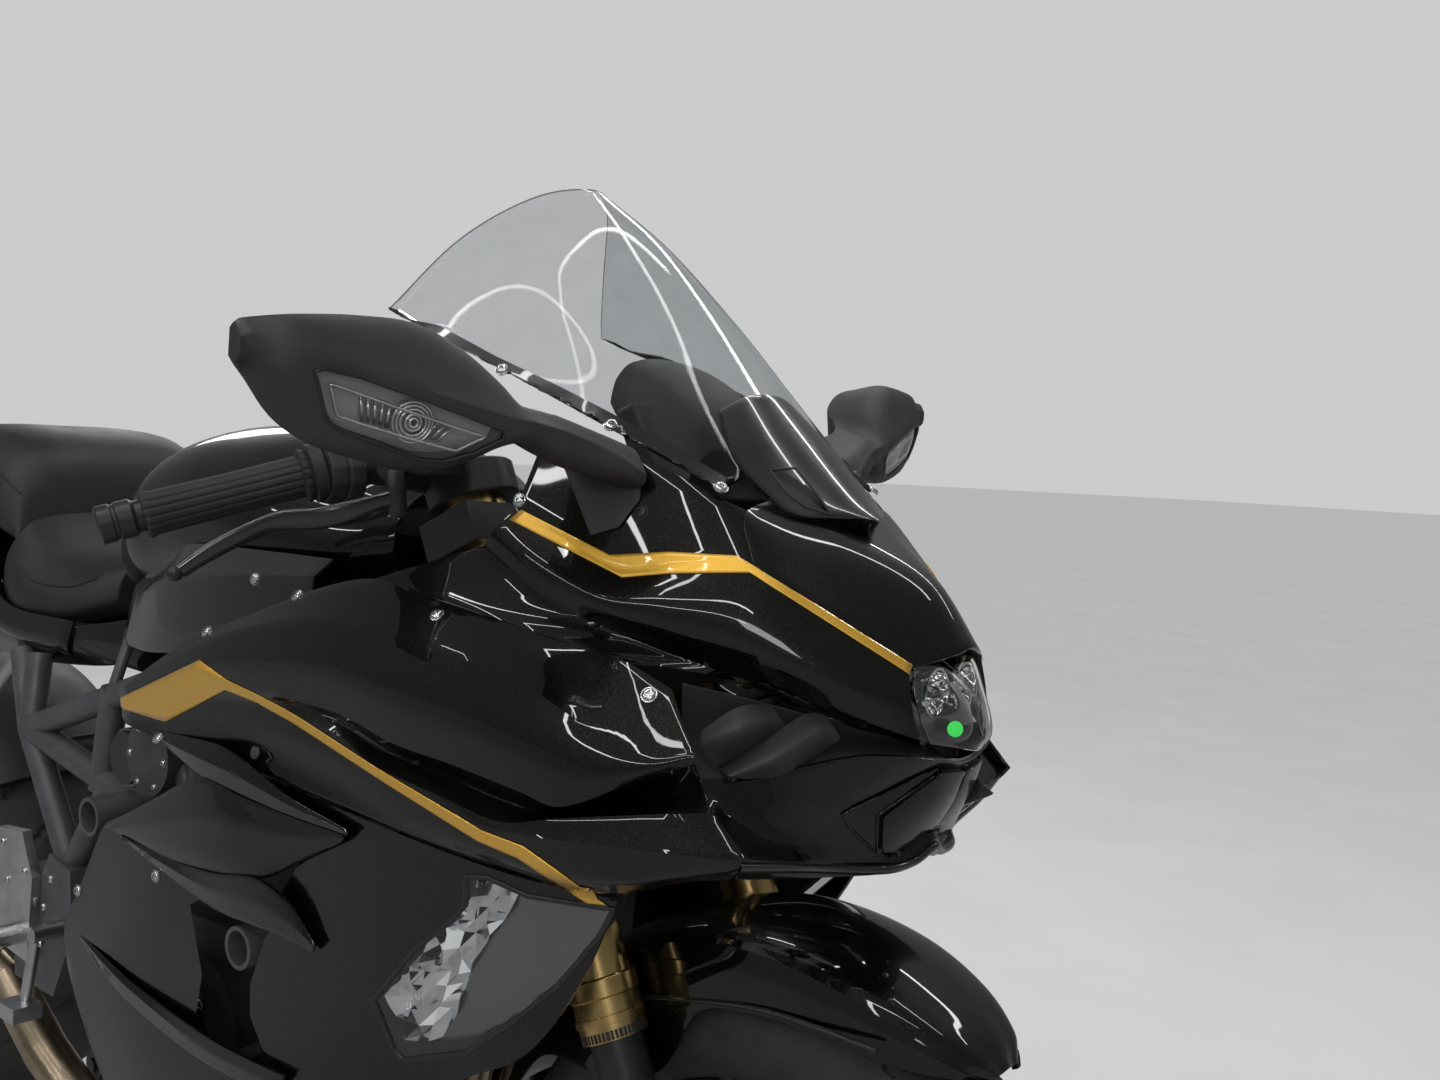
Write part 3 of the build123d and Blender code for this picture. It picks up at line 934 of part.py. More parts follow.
bar_z = STAND_PIVOT_Z + (STAND_FOOT_HIGH - STAND_PIVOT_Z) * share
cross_bar = cyl((bar_x, -STAND_LEG_Y, bar_z), (bar_x, STAND_LEG_Y, bar_z), STAND_TUBE_R - 2)
stand = join([leg, flip(leg), cross_bar])
stand = stand.cut(cyl((STAND_PIVOT_X, -200, STAND_PIVOT_Z), (STAND_PIVOT_X, 200, STAND_PIVOT_Z), STAND_PIN_R + PIN_FIT))
parts["centre_stand"] = stand

# Side stand on the left, folded back
down = Vector(0, math.sin(splay), -math.cos(splay))
tip = hinge + Vector(-SIDE_STAND_LONG, 0, 0)
side_leg = join([cyl(tuple(hinge - stand_axis * 9), tuple(hinge + stand_axis * 9), SIDE_STAND_R + 5),
                 cyl(tuple(hinge), tuple(tip), SIDE_STAND_R), ball(tuple(tip), SIDE_STAND_R + 4)])
side_leg = side_leg.cut(cyl(tuple(hinge - stand_axis * 40), tuple(hinge + stand_axis * 40), SIDE_STAND_PIN_R + PIN_FIT))
parts["side_stand"] = side_leg
parts["stand_brackets"] = Compound(children=[stand_bracket, flip(stand_bracket)])

os.makedirs("parts", exist_ok=True)
for name, shape in parts.items():
    export_step(Pos(SHIFT_X, 0, 0) * shape, f"parts/{name}.step")
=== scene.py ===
import math
import random

import bmesh
import bpy
from mathutils import Matrix, Vector, geometry
from mathutils.bvhtree import BVHTree


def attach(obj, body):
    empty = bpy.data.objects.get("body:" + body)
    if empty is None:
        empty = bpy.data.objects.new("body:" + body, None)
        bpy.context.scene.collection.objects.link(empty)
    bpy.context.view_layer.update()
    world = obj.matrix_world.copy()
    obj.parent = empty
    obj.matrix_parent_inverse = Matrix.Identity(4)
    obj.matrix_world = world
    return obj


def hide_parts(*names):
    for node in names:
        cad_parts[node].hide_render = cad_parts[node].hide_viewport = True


# Sport touring motorcycle. Places are written in millimetres, x ahead of the front axle, y to the rider's
# left and z up from the ground, and at() turns them into the frame's metres. Tables that end in _PX hold
# pixels of the photograph, across and down. Other rows of pixels add y in millimetres as a third value.
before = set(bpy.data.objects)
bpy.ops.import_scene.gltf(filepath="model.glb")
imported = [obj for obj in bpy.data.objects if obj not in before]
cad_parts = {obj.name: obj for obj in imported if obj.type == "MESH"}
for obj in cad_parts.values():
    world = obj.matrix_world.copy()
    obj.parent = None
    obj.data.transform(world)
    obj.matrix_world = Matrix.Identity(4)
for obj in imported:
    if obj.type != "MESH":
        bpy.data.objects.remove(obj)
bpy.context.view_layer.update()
random.seed(7)

AXLE_X = 767.5
AXLE_Z = 300.0
REAR_X = -1480.0
REAR_Z = 332.0
RAKE = math.radians(24.7)
STEER_UP = Vector((-math.sin(RAKE), 0, math.cos(RAKE)))
LEG_Y = 107.0
STRIPE_LIFT, STRIPE_THICK = 0.9, 0.4
BOTH_SIDES = ((-1, "right"), (1, "left"))
surfaces = {}


def at(x, y, z):
    """Place in the frame, in metres, from millimetres ahead of the front axle."""
    return Vector(((x + AXLE_X) / 1000, y / 1000, z / 1000))


def leg_x(z):
    """x of the fork legs' axis at a height."""
    return -(z - AXLE_Z) * math.tan(RAKE)


# Camera
PHOTO_W, PHOTO_H = 1440, 1080
FOCAL_PX = 1344.6
CAMERA_AT = Vector((1.3441, -0.8993, 1.0182))
AZIMUTH, PITCH, ROLL = math.radians(37.66), math.radians(3.73), math.radians(3.0)
look = Vector((-math.sin(AZIMUTH) * math.cos(PITCH), math.cos(AZIMUTH) * math.cos(PITCH), -math.sin(PITCH)))
level = Vector((math.cos(AZIMUTH), math.sin(AZIMUTH), 0))
upright = level.cross(look)
image_x = level * math.cos(ROLL) + upright * math.sin(ROLL)
image_y = -level * math.sin(ROLL) + upright * math.cos(ROLL)
camera = bpy.data.objects.new("camera", bpy.data.cameras.new("camera"))
bpy.context.scene.collection.objects.link(camera)
camera.data.sensor_width = 36.0
camera.data.lens = 36.0 * FOCAL_PX / PHOTO_W
camera.data.clip_start = 0.02
camera.data.clip_end = 60.0
camera.matrix_world = Matrix((
    (image_x.x, image_y.x, -look.x, CAMERA_AT.x),
    (image_x.y, image_y.y, -look.y, CAMERA_AT.y),
    (image_x.z, image_y.z, -look.z, CAMERA_AT.z),
    (0, 0, 0, 1)))
bpy.context.scene.camera = camera


def sight(px, py):
    """Direction from the camera through a pixel of the photograph."""
    across = (px - PHOTO_W / 2) / FOCAL_PX
    down = (py - PHOTO_H / 2) / FOCAL_PX
    return (look + image_x * across - image_y * down).normalized()


def pin(px, py, y):
    """Place seen at a pixel, on the upright plane at a value of y in millimetres."""
    ray = sight(px, py)
    return CAMERA_AT + ray * ((y / 1000 - CAMERA_AT.y) / ray.y)


def seen_rows(rows):
    """Rows of places from rows of pixel across, pixel down and y."""
    return [[pin(*p) for p in row] for row in rows]


def mirrored(point):
    """Place on the other side, as a vector or a row of numbers like the given one."""
    return type(point)((point[0], -point[1], point[2]))


def whole(half):
    """Row from its right half, whose last point lies on the middle plane, and the mirrored rest."""
    return half + [mirrored(p) for p in half[-2::-1]]


def circle(a, b, r, count):
    """Pairs of numbers round a middle on a plane."""
    turns = [math.tau * k / count for k in range(count)]
    return [(a + r * math.cos(t), b + r * math.sin(t)) for t in turns]


def axes_across(run):
    """Two directions at right angles to a third."""
    side = run.orthogonal().normalized()
    return side, run.cross(side)


def ring_at(centre, side, other, r, count):
    """Places round a middle, in the plane of two directions."""
    turns = [math.tau * k / count for k in range(count)]
    return [centre + (side * math.cos(t) + other * math.sin(t)) * (r / 1000) for t in turns]


# Directions in which a piece faces outwards
def sideways(point):
    return Vector((0, -1 if point.y < 0 else 1, 0))


def toward_camera(point):
    return CAMERA_AT - point


def away_from(x, z):
    middle = at(x, 0, z)
    return lambda point: (point - middle).normalized()


def away_from_axle(x, z):
    axle = at(x, 0, z)
    return lambda point: (point - Vector((axle.x, point.y * 0.6, axle.z))).normalized()


# Materials
def tree_of(name):
    """New material, its nodes and its main shader."""
    material = bpy.data.materials.new(name)
    material.use_nodes = True
    tree = material.node_tree
    return material, tree, tree.nodes["Principled BSDF"]


def speckle(tree, scale, detail=3.0):
    """Noise over the piece's own coordinates."""
    where = tree.nodes.new("ShaderNodeTexCoord")
    grain = tree.nodes.new("ShaderNodeTexNoise")
    grain.inputs["Scale"].default_value = scale
    grain.inputs["Detail"].default_value = detail
    tree.links.new(where.outputs["Object"], grain.inputs["Vector"])
    return grain


def ramp(tree, source, low, high, start=0.35, end=0.65):
    """Two colours or greys mixed by a factor."""
    mixer = tree.nodes.new("ShaderNodeValToRGB")
    for stop, place, color in zip(mixer.color_ramp.elements, (start, end), (low, high)):
        stop.position = place
        stop.color = (*color, 1) if len(color) == 3 else (*color * 3, 1)
    tree.links.new(source, mixer.inputs["Fac"])
    return mixer.outputs["Color"]


def shade(name, color, rough, metallic=0.0, vary=0.12, scale=40.0, bump=0.0, bump_scale=900.0, coat=0.0,
          rough_vary=0.05, transmission=0.0, ior=1.5, anisotropic=0.0):
    """Finish with its own grain: colour and roughness vary a little, with a fine bump."""
    material, tree, shader = tree_of(name)
    cloud = speckle(tree, scale)
    dark = tuple(c * (1 - vary) for c in color)
    pale = tuple(min(c * (1 + vary), 1.0) for c in color)
    tree.links.new(ramp(tree, cloud.outputs["Fac"], dark, pale), shader.inputs["Base Color"])
    patch = speckle(tree, scale * 0.37)
    low, high = (max(rough - rough_vary, 0.0),), (min(rough + rough_vary, 1.0),)
    tree.links.new(ramp(tree, patch.outputs["Fac"], low, high), shader.inputs["Roughness"])
    for key, value in (("Metallic", metallic), ("Coat Weight", coat), ("Coat Roughness", 0.03), ("IOR", ior),
                       ("Transmission Weight", transmission), ("Anisotropic", anisotropic)):
        shader.inputs[key].default_value = value
    if bump:
        fine = speckle(tree, bump_scale, 2.0)
        lift = tree.nodes.new("ShaderNodeBump")
        lift.inputs["Strength"].default_value = bump
        lift.inputs["Distance"].default_value = 0.0004
        tree.links.new(fine.outputs["Fac"], lift.inputs["Height"])
        tree.links.new(lift.outputs["Normal"], shader.inputs["Normal"])
    return material


def flake_paint(name, ground, flake, share, rough=0.34):
    """Clear-coated paint with small metal flakes of another colour."""
    material, tree, shader = tree_of(name)
    where = tree.nodes.new("ShaderNodeTexCoord")
    cells = tree.nodes.new("ShaderNodeTexVoronoi")
    cells.inputs["Scale"].default_value = 2400.0
    tree.links.new(where.outputs["Object"], cells.inputs["Vector"])
    split = tree.nodes.new("ShaderNodeSeparateColor")
    tree.links.new(cells.outputs["Color"], split.inputs["Color"])
    mixed = ramp(tree, split.outputs["Red"], ground, flake, 1 - share, 1.0)
    tree.links.new(mixed, shader.inputs["Base Color"])
    tree.links.new(ramp(tree, split.outputs["Green"], (rough - 0.05,), (rough + 0.1,), 0, 1),
                   shader.inputs["Roughness"])
    shader.inputs["Metallic"].default_value = 0.85
    shader.inputs["Coat Weight"].default_value = 1.0
    shader.inputs["Coat Roughness"].default_value = 0.025
    return material


M = {
    "paint": flake_paint("paint", (0.0030, 0.0028, 0.0022), (0.055, 0.040, 0.018), 0.10),
    "gold": flake_paint("gold_stripe", (0.86, 0.48, 0.055), (0.98, 0.66, 0.16), 0.30, 0.42),
    "matte": shade("matte_black", (0.018, 0.018, 0.019), 0.52, bump=0.25, bump_scale=2200),
    "soft": shade("satin_black", (0.012, 0.012, 0.013), 0.36, bump=0.12, bump_scale=1500),
    "gloss": shade("gloss_black", (0.008, 0.008, 0.008), 0.22, coat=1.0),
    "frame": shade("frame_grey", (0.07, 0.07, 0.075), 0.42, 0.4, bump=0.15, bump_scale=1300),
    "cast": shade("cast_grey", (0.06, 0.06, 0.063), 0.55, 0.5, bump=0.5, bump_scale=700),
    "alloy": shade("bare_alloy", (0.55, 0.55, 0.56), 0.3, 1.0, bump=0.15, bump_scale=900),
    "steel": shade("brushed_steel", (0.42, 0.41, 0.40), 0.32, 1.0, bump=0.1, bump_scale=1400,
                   anisotropic=0.5),
    "pipe": shade("heat_tinted_pipe", (0.46, 0.36, 0.25), 0.28, 1.0, vary=0.35, scale=14, bump=0.1),
    "anodised": shade("gold_anodised", (0.66, 0.46, 0.19), 0.24, 1.0, vary=0.06, anisotropic=0.4),
    "smoke": shade("smoky_reflector", (0.17, 0.17, 0.16), 0.22, 0.6, vary=0.06, scale=9),
    "signal": shade("signal_reflector", (0.40, 0.41, 0.39), 0.34, 0.3, vary=0.06, scale=9),
    "chrome": shade("bright_reflector", (0.85, 0.86, 0.87), 0.06, 1.0, vary=0.03, rough_vary=0.03),
    "screw": shade("zinc_screw", (0.68, 0.68, 0.69), 0.22, 1.0, vary=0.05),
    "lens": shade("clear_lens", (0.97, 0.98, 0.98), 0.02, vary=0.01, rough_vary=0.01, transmission=1.0,
                  ior=1.45),
    "screen": shade("screen_clear", (0.72, 0.74, 0.75), 0.0, vary=0.02, rough_vary=0.0, transmission=1.0,
                    ior=1.2),
    "red_lens": shade("red_lens", (0.45, 0.01, 0.008), 0.08, vary=0.05, transmission=0.6),
    "mirror": shade("mirror_glass", (0.82, 0.84, 0.85), 0.02, 1.0, vary=0.01, rough_vary=0.01),
    "rubber": shade("rubber", (0.014, 0.014, 0.014), 0.6, bump=0.3, bump_scale=1600),
    "tyre": shade("tyre_rubber", (0.022, 0.021, 0.020), 0.72, vary=0.2, bump=0.5, bump_scale=1300),
    "cover": shade("seat_cover", (0.013, 0.013, 0.013), 0.5, bump=0.6, bump_scale=1500),
    "display": shade("display", (0.01, 0.012, 0.016), 0.12, coat=1.0),
    "green": shade("green_sticker", (0.05, 0.72, 0.10), 0.45, vary=0.04),
}


# Mesh helpers
def curve(p, q, a, b, steps):
    """Places from p up to, but not with, q, on a smooth line with the slopes a and b at its ends."""
    shares = [s / steps for s in range(steps)]
    return [p * (2 * t**3 - 3 * t**2 + 1) + a * (t**3 - 2 * t**2 + t)
            + q * (3 * t**2 - 2 * t**3) + b * (t**3 - t**2) for t in shares]


def spline(points, steps, sharp=()):
    """Points along a smooth line through the given ones, which turns at once at the sharp ones."""
    out = []
    last = len(points) - 1
    length = [max((b - a).length, 1e-6) for a, b in zip(points, points[1:])]

    def slope(i, seg):
        if i in (0, last) or i in sharp:
            return points[seg + 1] - points[seg]
        return (points[i + 1] - points[i - 1]) * (length[seg] / (length[i - 1] + length[i]))

    for i in range(last):
        out += curve(points[i], points[i + 1], slope(i, i), slope(i + 1, i), steps)
    out.append(points[-1].copy())
    return out


def dense(rows, along, down, sharp_rows=(), sharp_cols=()):
    """Finer grid through a coarse one, of places in millimetres or in the frame."""
    wide = [spline([p if isinstance(p, Vector) else at(*p) for p in row], along, sharp_cols) for row in rows]
    columns = [spline([row[i] for row in wide], down, sharp_rows) for i in range(len(wide[0]))]
    return [[column[j] for column in columns] for j in range(len(columns[0]))]


def closed_spline(points, steps, sharp=()):
    """The same round a ring, which starts again at its first point."""
    n = len(points)
    out = []
    for i in range(n):
        p, q = points[i], points[(i + 1) % n]
        before, after = points[i - 1], points[(i + 2) % n]
        size = max((q - p).length, 1e-6)
        a = (q - p) if i in sharp else (q - before) * (size / ((p - before).length + size + 1e-9))
        b = (q - p) if (i + 1) % n in sharp else (after - p) * (size / ((after - q).length + size + 1e-9))
        out += curve(p, q, a, b, steps)
    return out


def loft_mesh(rings, along, around, sharp):
    """Vertices and faces through rings of points, with the two ends closed by fans."""
    fine = [closed_spline(ring, around, sharp) for ring in rings]
    lines = [spline([ring[i] for ring in fine], along) for i in range(len(fine[0]))]
    grid = [[line[j] for line in lines] for j in range(len(lines[0]))]
    verts, faces = grid_mesh(grid, closed=True)
    n = len(grid[0])
    for ring, start in ((grid[0], 0), (grid[-1], (len(grid) - 1) * n)):
        middle = sum(ring, Vector()) / n
        verts.append(middle)
        hub = len(verts) - 1
        for j in range(n):
            a, b = start + j, start + (j + 1) % n
            faces.append((hub, a, b) if start else (hub, b, a))
    return verts, faces


def lofted(name, rings, material, along, around, sharp, bevel):
    """Closed form through rings of points, with soft edges."""
    obj = outwards(object_of(name, *loft_mesh(rings, along, around, sharp), material))
    rounded(obj, bevel, 3, 40)
    surfaces[name] = skin_of(obj)
    return edges_by_angle(obj, 40)


def section_rings(sections):
    """Rings from sections of x and the half outline (y, z) from the top middle to the bottom middle."""
    rings = []
    for x, half in sections:
        right = [at(x, -y, z) for y, z in half]
        left = [at(x, y, z) for y, z in reversed(half) if y > 0]
        rings.append(right + left)
    return rings


def turned(name, profile, centre, material, around=96, axis="Y"):
    """Ring turned about an axis: profile of (radius, offset along the axis) in millimetres."""
    rows = []
    for r, h in profile:
        row = []
        for k in range(around):
            a = math.tau * k / around
            place = [r / 1000 * math.cos(a), r / 1000 * math.sin(a)]
            place.insert("XYZ".index(axis), h / 1000)
            row.append(centre + Vector(place))
        rows.append(row)
    return solid(35, name, *grid_mesh(rows, closed=True), material)


def object_of(name, verts, faces, material, smooth=True):
    """New piece from vertices and faces, in one of the finishes."""
    mesh = bpy.data.meshes.new(name)
    mesh.from_pydata([tuple(v) for v in verts], [], faces)
    mesh.validate()
    mesh.update()
    made = bpy.data.objects.new(name, mesh)
    bpy.context.scene.collection.objects.link(made)
    made.data.materials.append(M[material] if isinstance(material, str) else material)
    if smooth:
        mesh.polygons.foreach_set("use_smooth", [True] * len(mesh.polygons))
    return made


def grid_mesh(grid, closed=False):
    """Vertices and faces of a grid of points."""
    rows, cols = len(grid), len(grid[0])
    verts = [p for row in grid for p in row]
    faces = []
    for i in range(rows - 1):
        for j in range(cols if closed else cols - 1):
            k = (j + 1) % cols
            faces.append((i * cols + j, i * cols + k, (i + 1) * cols + k, (i + 1) * cols + j))
    return verts, faces


def capped(rows):
    """Vertices and faces of a closed form through rings, with a flat face at each end."""
    verts, faces = grid_mesh(rows, closed=True)
    n = len(rows[0])
    return verts, faces + [tuple(range(n - 1, -1, -1)), tuple(range(len(verts) - n, len(verts)))]


def merged(parts):
    """One list of vertices and faces from several."""
    verts, faces = [], []
    for v, f in parts:
        base = len(verts)
        verts += list(v)
        faces += [tuple(i + base for i in face) for face in f]
    return verts, faces


def block(low, high):
    """Vertices and faces of a closed block between two rings with as many points each."""
    n = len(low)
    faces = [tuple(range(n)), tuple(range(2 * n - 1, n - 1, -1))]
    faces += [(i, i + n, (i + 1) % n + n, (i + 1) % n) for i in range(n)]
    return low + high, faces


def modifier(obj, kind, **settings):
    made = obj.modifiers.new(kind.lower(), kind)
    for key, value in settings.items():
        setattr(made, key, value)
    return made


def settle(obj):
    """Keeps the result of the modifiers in the mesh."""
    seen = obj.evaluated_get(bpy.context.evaluated_depsgraph_get())
    mesh = bpy.data.meshes.new_from_object(seen)
    obj.modifiers.clear()
    obj.data = mesh
    return obj


def rounded(obj, width, segments=2, degrees=50):
    """Rounds the edges sharper than an angle by a width in millimetres."""
    if width:
        modifier(obj, "BEVEL", width=width / 1000, segments=segments, limit_method="ANGLE",
                 angle_limit=math.radians(degrees))
        settle(obj)
    return obj


def thickened(obj, thick):
    """Gives a skin a thickness inwards, in millimetres."""
    modifier(obj, "SOLIDIFY", thickness=thick / 1000, offset=-1.0)
    return settle(obj)


def edges_by_angle(obj, degrees):
    obj.data.set_sharp_from_angle(angle=math.radians(degrees))
    return obj


def reworked(obj, change):
    """Changes the mesh of a piece in place."""
    work = bmesh.new()
    work.from_mesh(obj.data)
    change(work)
    work.to_mesh(obj.data)
    work.free()
    return obj


def outwards(obj):
    """Turns all faces of a closed mesh outwards."""
    return reworked(obj, lambda work: bmesh.ops.recalc_face_normals(work, faces=work.faces))


def solid(degrees, name, verts, faces, material):
    """New closed piece with its faces outwards and edges sharp from an angle on."""
    return edges_by_angle(outwards(object_of(name, verts, faces, material)), degrees)


def skin_of(obj):
    """Search tree over the faces of a piece."""
    return BVHTree.FromPolygons([obj.matrix_world @ v.co for v in obj.data.vertices],
                                [tuple(p.vertices) for p in obj.data.polygons])


def facing(verts, faces, outward):
    """Turns the faces so that the middle ones look along a direction given by outward(point)."""
    score = 0.0
    for face in faces[::max(1, len(faces) // 60)]:
        a, b, c = verts[face[0]], verts[face[1]], verts[face[2]]
        score += (b - a).cross(c - a).normalized().dot(outward((a + c) / 2))
    return faces if score >= 0 else [tuple(reversed(f)) for f in faces]


def weld(obj):
    """Joins vertices that lie on each other."""
    return reworked(obj, lambda work: bmesh.ops.remove_doubles(work, verts=work.verts, dist=0.00005))


def flip_y(obj):
    """The same piece on the left side."""
    made = bpy.data.objects.new(obj.name.replace("_right", "_left"), obj.data.copy())
    bpy.context.scene.collection.objects.link(made)

    def flip(work):
        for v in work.verts:
            v.co.y = -v.co.y
        bmesh.ops.reverse_faces(work, faces=work.faces)

    return reworked(made, flip)


def belong(obj, body="chassis", nodes=()):
    """Rides the piece on its body, in place of the named nodes."""
    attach(obj, body)
    if nodes:
        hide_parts(*([nodes] if isinstance(nodes, str) else nodes))
    return obj


def cutter_of(low, high):
    """Cutting block between two rings."""
    return outwards(object_of("cutter", *block(low, high), "matte", smooth=False))


def ray_prism(pixels, near, far):
    """Cutting block bounded by the sight lines through pixels, between two distances in metres."""
    return cutter_of([CAMERA_AT + sight(*p) * near for p in pixels],
                     [CAMERA_AT + sight(*p) * far for p in pixels])


def carve(obj, cutters):
    """Takes the cutting blocks out of a piece and removes them."""
    for cutter in cutters:
        modifier(obj, "BOOLEAN", operation="DIFFERENCE", object=cutter, solver="EXACT")
        settle(obj)
    for cutter in cutters:
        bpy.data.objects.remove(cutter)
    return obj


def panel(name, grids, outward, thick=3.5, material="paint", cutters=(), bevel=0.9):
    """Body panel: a smooth skin with thickness inwards, cut-outs and soft edges."""
    verts, faces = merged([(v, facing(v, f, outward)) for v, f in map(grid_mesh, grids)])
    surfaces[name] = BVHTree.FromPolygons([v.copy() for v in verts], faces)
    obj = object_of(name, verts, faces, material)
    weld(obj)
    modifier(obj, "SOLIDIFY", thickness=thick / 1000, offset=-1.0, use_quality_normals=True)
    settle(obj)
    carve(obj, cutters)
    obj.data.polygons.foreach_set("use_smooth", [True] * len(obj.data.polygons))
    return edges_by_angle(rounded(obj, bevel), 28)


def seen_on(px, py, names):
    """Place and outward normal where a sight line first meets one of the surfaces, or else comes nearest."""
    ray = sight(px, py)
    found = [surfaces[name].ray_cast(CAMERA_AT, ray) for name in names]
    found = [hit for hit in found if hit[0] is not None]
    if not found:
        steps = [CAMERA_AT + ray * (0.8 + 0.02 * step) for step in range(1, 40)]
        found = [surfaces[name].find_nearest(reach) for reach in steps for name in names]
    where, normal, _, _ = min(found, key=lambda hit: hit[3])
    return where, normal if normal.dot(ray) < 0 else -normal


def far(px, py, names):
    """Distance from the camera to a surface at a pixel."""
    return (seen_on(px, py, names)[0] - CAMERA_AT).length


def lifted(px, py, names, lift):
    """Place over a surface at a pixel, at a height in millimetres."""
    where, normal = seen_on(px, py, names)
    return where + normal * (lift / 1000)


def ribbon(name, top, bottom, names, steps, across):
    """Thin gold band on a surface between two lines of pixels with as many points each."""
    verts, faces = [], []
    rows = (len(top) - 1) * steps + 1
    for i in range(rows):
        k = min(i // steps, len(top) - 2)
        t = i / steps - k
        a = Vector(top[k]).lerp(Vector(top[k + 1]), t)
        b = Vector(bottom[k]).lerp(Vector(bottom[k + 1]), t)
        for j in range(across + 1):
            verts.append(lifted(*a.lerp(b, j / across), names, STRIPE_LIFT))
    for i in range(rows - 1):
        for j in range(across):
            n = i * (across + 1) + j
            faces.append((n, n + 1, n + across + 2, n + across + 1))
    return thickened(object_of(name, verts, facing(verts, faces, sideways), "gold"), STRIPE_THICK)


def inside(x, y, ring):
    """Whether a place lies in a ring of points."""
    odd = False
    for (ax, ay), (bx, by) in zip(ring, ring[1:] + ring[:1]):
        if (ay > y) != (by > y) and x < (bx - ax) * (y - ay) / (by - ay) + ax:
            odd = not odd
    return odd


def stepped(outline, step):
    """The outline with points added about a step apart."""
    ring = []
    for (ax, ay), (bx, by) in zip(outline, outline[1:] + outline[:1]):
        parts = max(1, round(math.hypot(bx - ax, by - ay) / step))
        ring += [(ax + (bx - ax) * k / parts, ay + (by - ay) * k / parts) for k in range(parts)]
    return ring


def filled(outline, step):
    """Triangles that fill an outline of two-part points, with a grid of points inside."""
    ring = stepped(outline, step)
    points = [Vector(p) for p in ring]
    lows, highs = [min(c) for c in zip(*ring)], [max(c) for c in zip(*ring)]
    y = lows[1] + step / 2
    while y < highs[1]:
        x = lows[0] + step / 2
        while x < highs[0]:
            if inside(x, y, ring) and min(math.hypot(x - a, y - b) for a, b in ring) > step * 0.45:
                points.append(Vector((x, y)))
            x += step
        y += step
    edges = [(i, (i + 1) % len(ring)) for i in range(len(ring))]
    made = geometry.delaunay_2d_cdt(points, edges, [], 1, 1e-5)
    return made[0], [tuple(f) for f in made[2]]


def patch(name, outline, names, material, lift, thick, step, bevel=0.0, outward=sideways):
    """Piece cut by an outline of pixels, lying on a surface."""
    flat, faces = filled(outline, step)
    verts = [lifted(px.x, px.y, names, lift) for px in flat]
    obj = thickened(object_of(name, verts, facing(verts, faces, outward), material), thick)
    return edges_by_angle(rounded(obj, bevel), 35)


def rim(name, outline, names, material, r, lift=0.0):
    """Round bead along an outline of pixels on a surface."""
    path = [lifted(px, py, names, lift) for px, py in stepped(outline, 6)]
    return bead(name, path, r, material, closed=True)


def tube_mesh(path, r, sides, closed=False):
    """Round bar along a line of places."""
    n = len(path)
    rows = []
    side = None
    for i, p in enumerate(path):
        after = path[(i + 1) % n] if closed or i < n - 1 else p
        before = path[i - 1] if closed or i > 0 else p
        run = (after - before).normalized()
        if side is None:
            side = run.orthogonal().normalized()
        side = (side - run * side.dot(run)).normalized()
        rows.append(ring_at(p, side, run.cross(side), r, sides))
    return grid_mesh(rows + [rows[0]], closed=True) if closed else capped(rows)


def bead(name, path, r, material, closed=False, sides=10):
    """Round bar as a piece of its own."""
    obj = object_of(name, *tube_mesh(path, r, sides, closed), material)
    if closed:
        weld(obj)
    return edges_by_angle(outwards(obj), 50)


def fasten(name, places, material="screw", r=5.2):
    """Screws on the surfaces of both sides: a pixel and the surface's names for each."""
    pieces = [screw_mesh(*seen_on(px, py, names), r) for px, py, names in places]
    twin(solid(35, name + "_right", *merged(pieces), material))


def twin(obj, body="chassis", nodes=()):
    """Rides a right-hand piece and its mirrored copy."""
    belong(obj, body, nodes)
    belong(flip_y(obj), body, nodes)


def each_side(obj, node):
    """Rides a right-hand skin and its mirrored copy, each in place of its own side's solid."""
    belong(obj, nodes=node + "_right")
    belong(flip_y(obj), nodes=node + "_left")


# Button-head screw: share of the radius, height, and 1 where the ring is six-sided
SCREW_RINGS = [
    (1.15, -0.6, 0), (1.15, 0.5, 0), (1.0, 0.6, 0), (0.97, 1.5, 0), (0.8, 2.4, 0), (0.56, 2.8, 0),
    (0.44, 2.8, 1), (0.40, 1.0, 1), (0.05, 0.9, 1)]
SCREW_SIDES = 18


def screw_mesh(where, normal, r):
    """Screw with a six-sided socket, standing on a surface."""
    side, other = axes_across(normal)
    rows = []
    for share, high, hexagon in SCREW_RINGS:
        row = []
        for k in range(SCREW_SIDES):
            a = math.tau * k / SCREW_SIDES
            flat = 1.0
            if hexagon:
                flat = math.cos(math.pi / 6) / math.cos((a % (math.pi / 3)) - math.pi / 6)
            reach = r / 1000 * share * flat
            row.append(where + side * (reach * math.cos(a)) + other * (reach * math.sin(a))
                       + normal * (high / 1000))
        rows.append(row)
    return grid_mesh(rows, closed=True)


# Upper cowl: the same crease lines as the solid, and its crest on the middle plane
COWL = [
    [(-215, -178, 935), (-150, -180, 904), (-99, -170, 887), (-45, -154, 872), (0, -134, 860),
     (45, -109, 846), (85, -81, 832), (114, -54, 820)],
    [(-202, -178, 950), (-146, -180, 926), (-92, -174, 907), (-45, -162, 903), (5, -142, 895),
     (50, -117, 874), (85, -88, 856), (108, -58, 846)],
    [(-190, -168, 966), (-140, -163, 947), (-89, -154, 928), (-45, -140, 936), (8, -120, 936),
     (50, -93, 909), (80, -73, 888), (103, -56, 870)],
    [(-174, -148, 1041), (-146, -145, 1033), (-110, -138, 1020), (-62, -122, 998), (-18, -98, 976),
     (28, -52, 955), (85, -24, 922), (121, -18, 880)]]
COWL_CREST = [(-18, 0, 984), (28, 0, 962), (88, 0, 928), (124, 0, 884)]
COWL_STEPS = 8

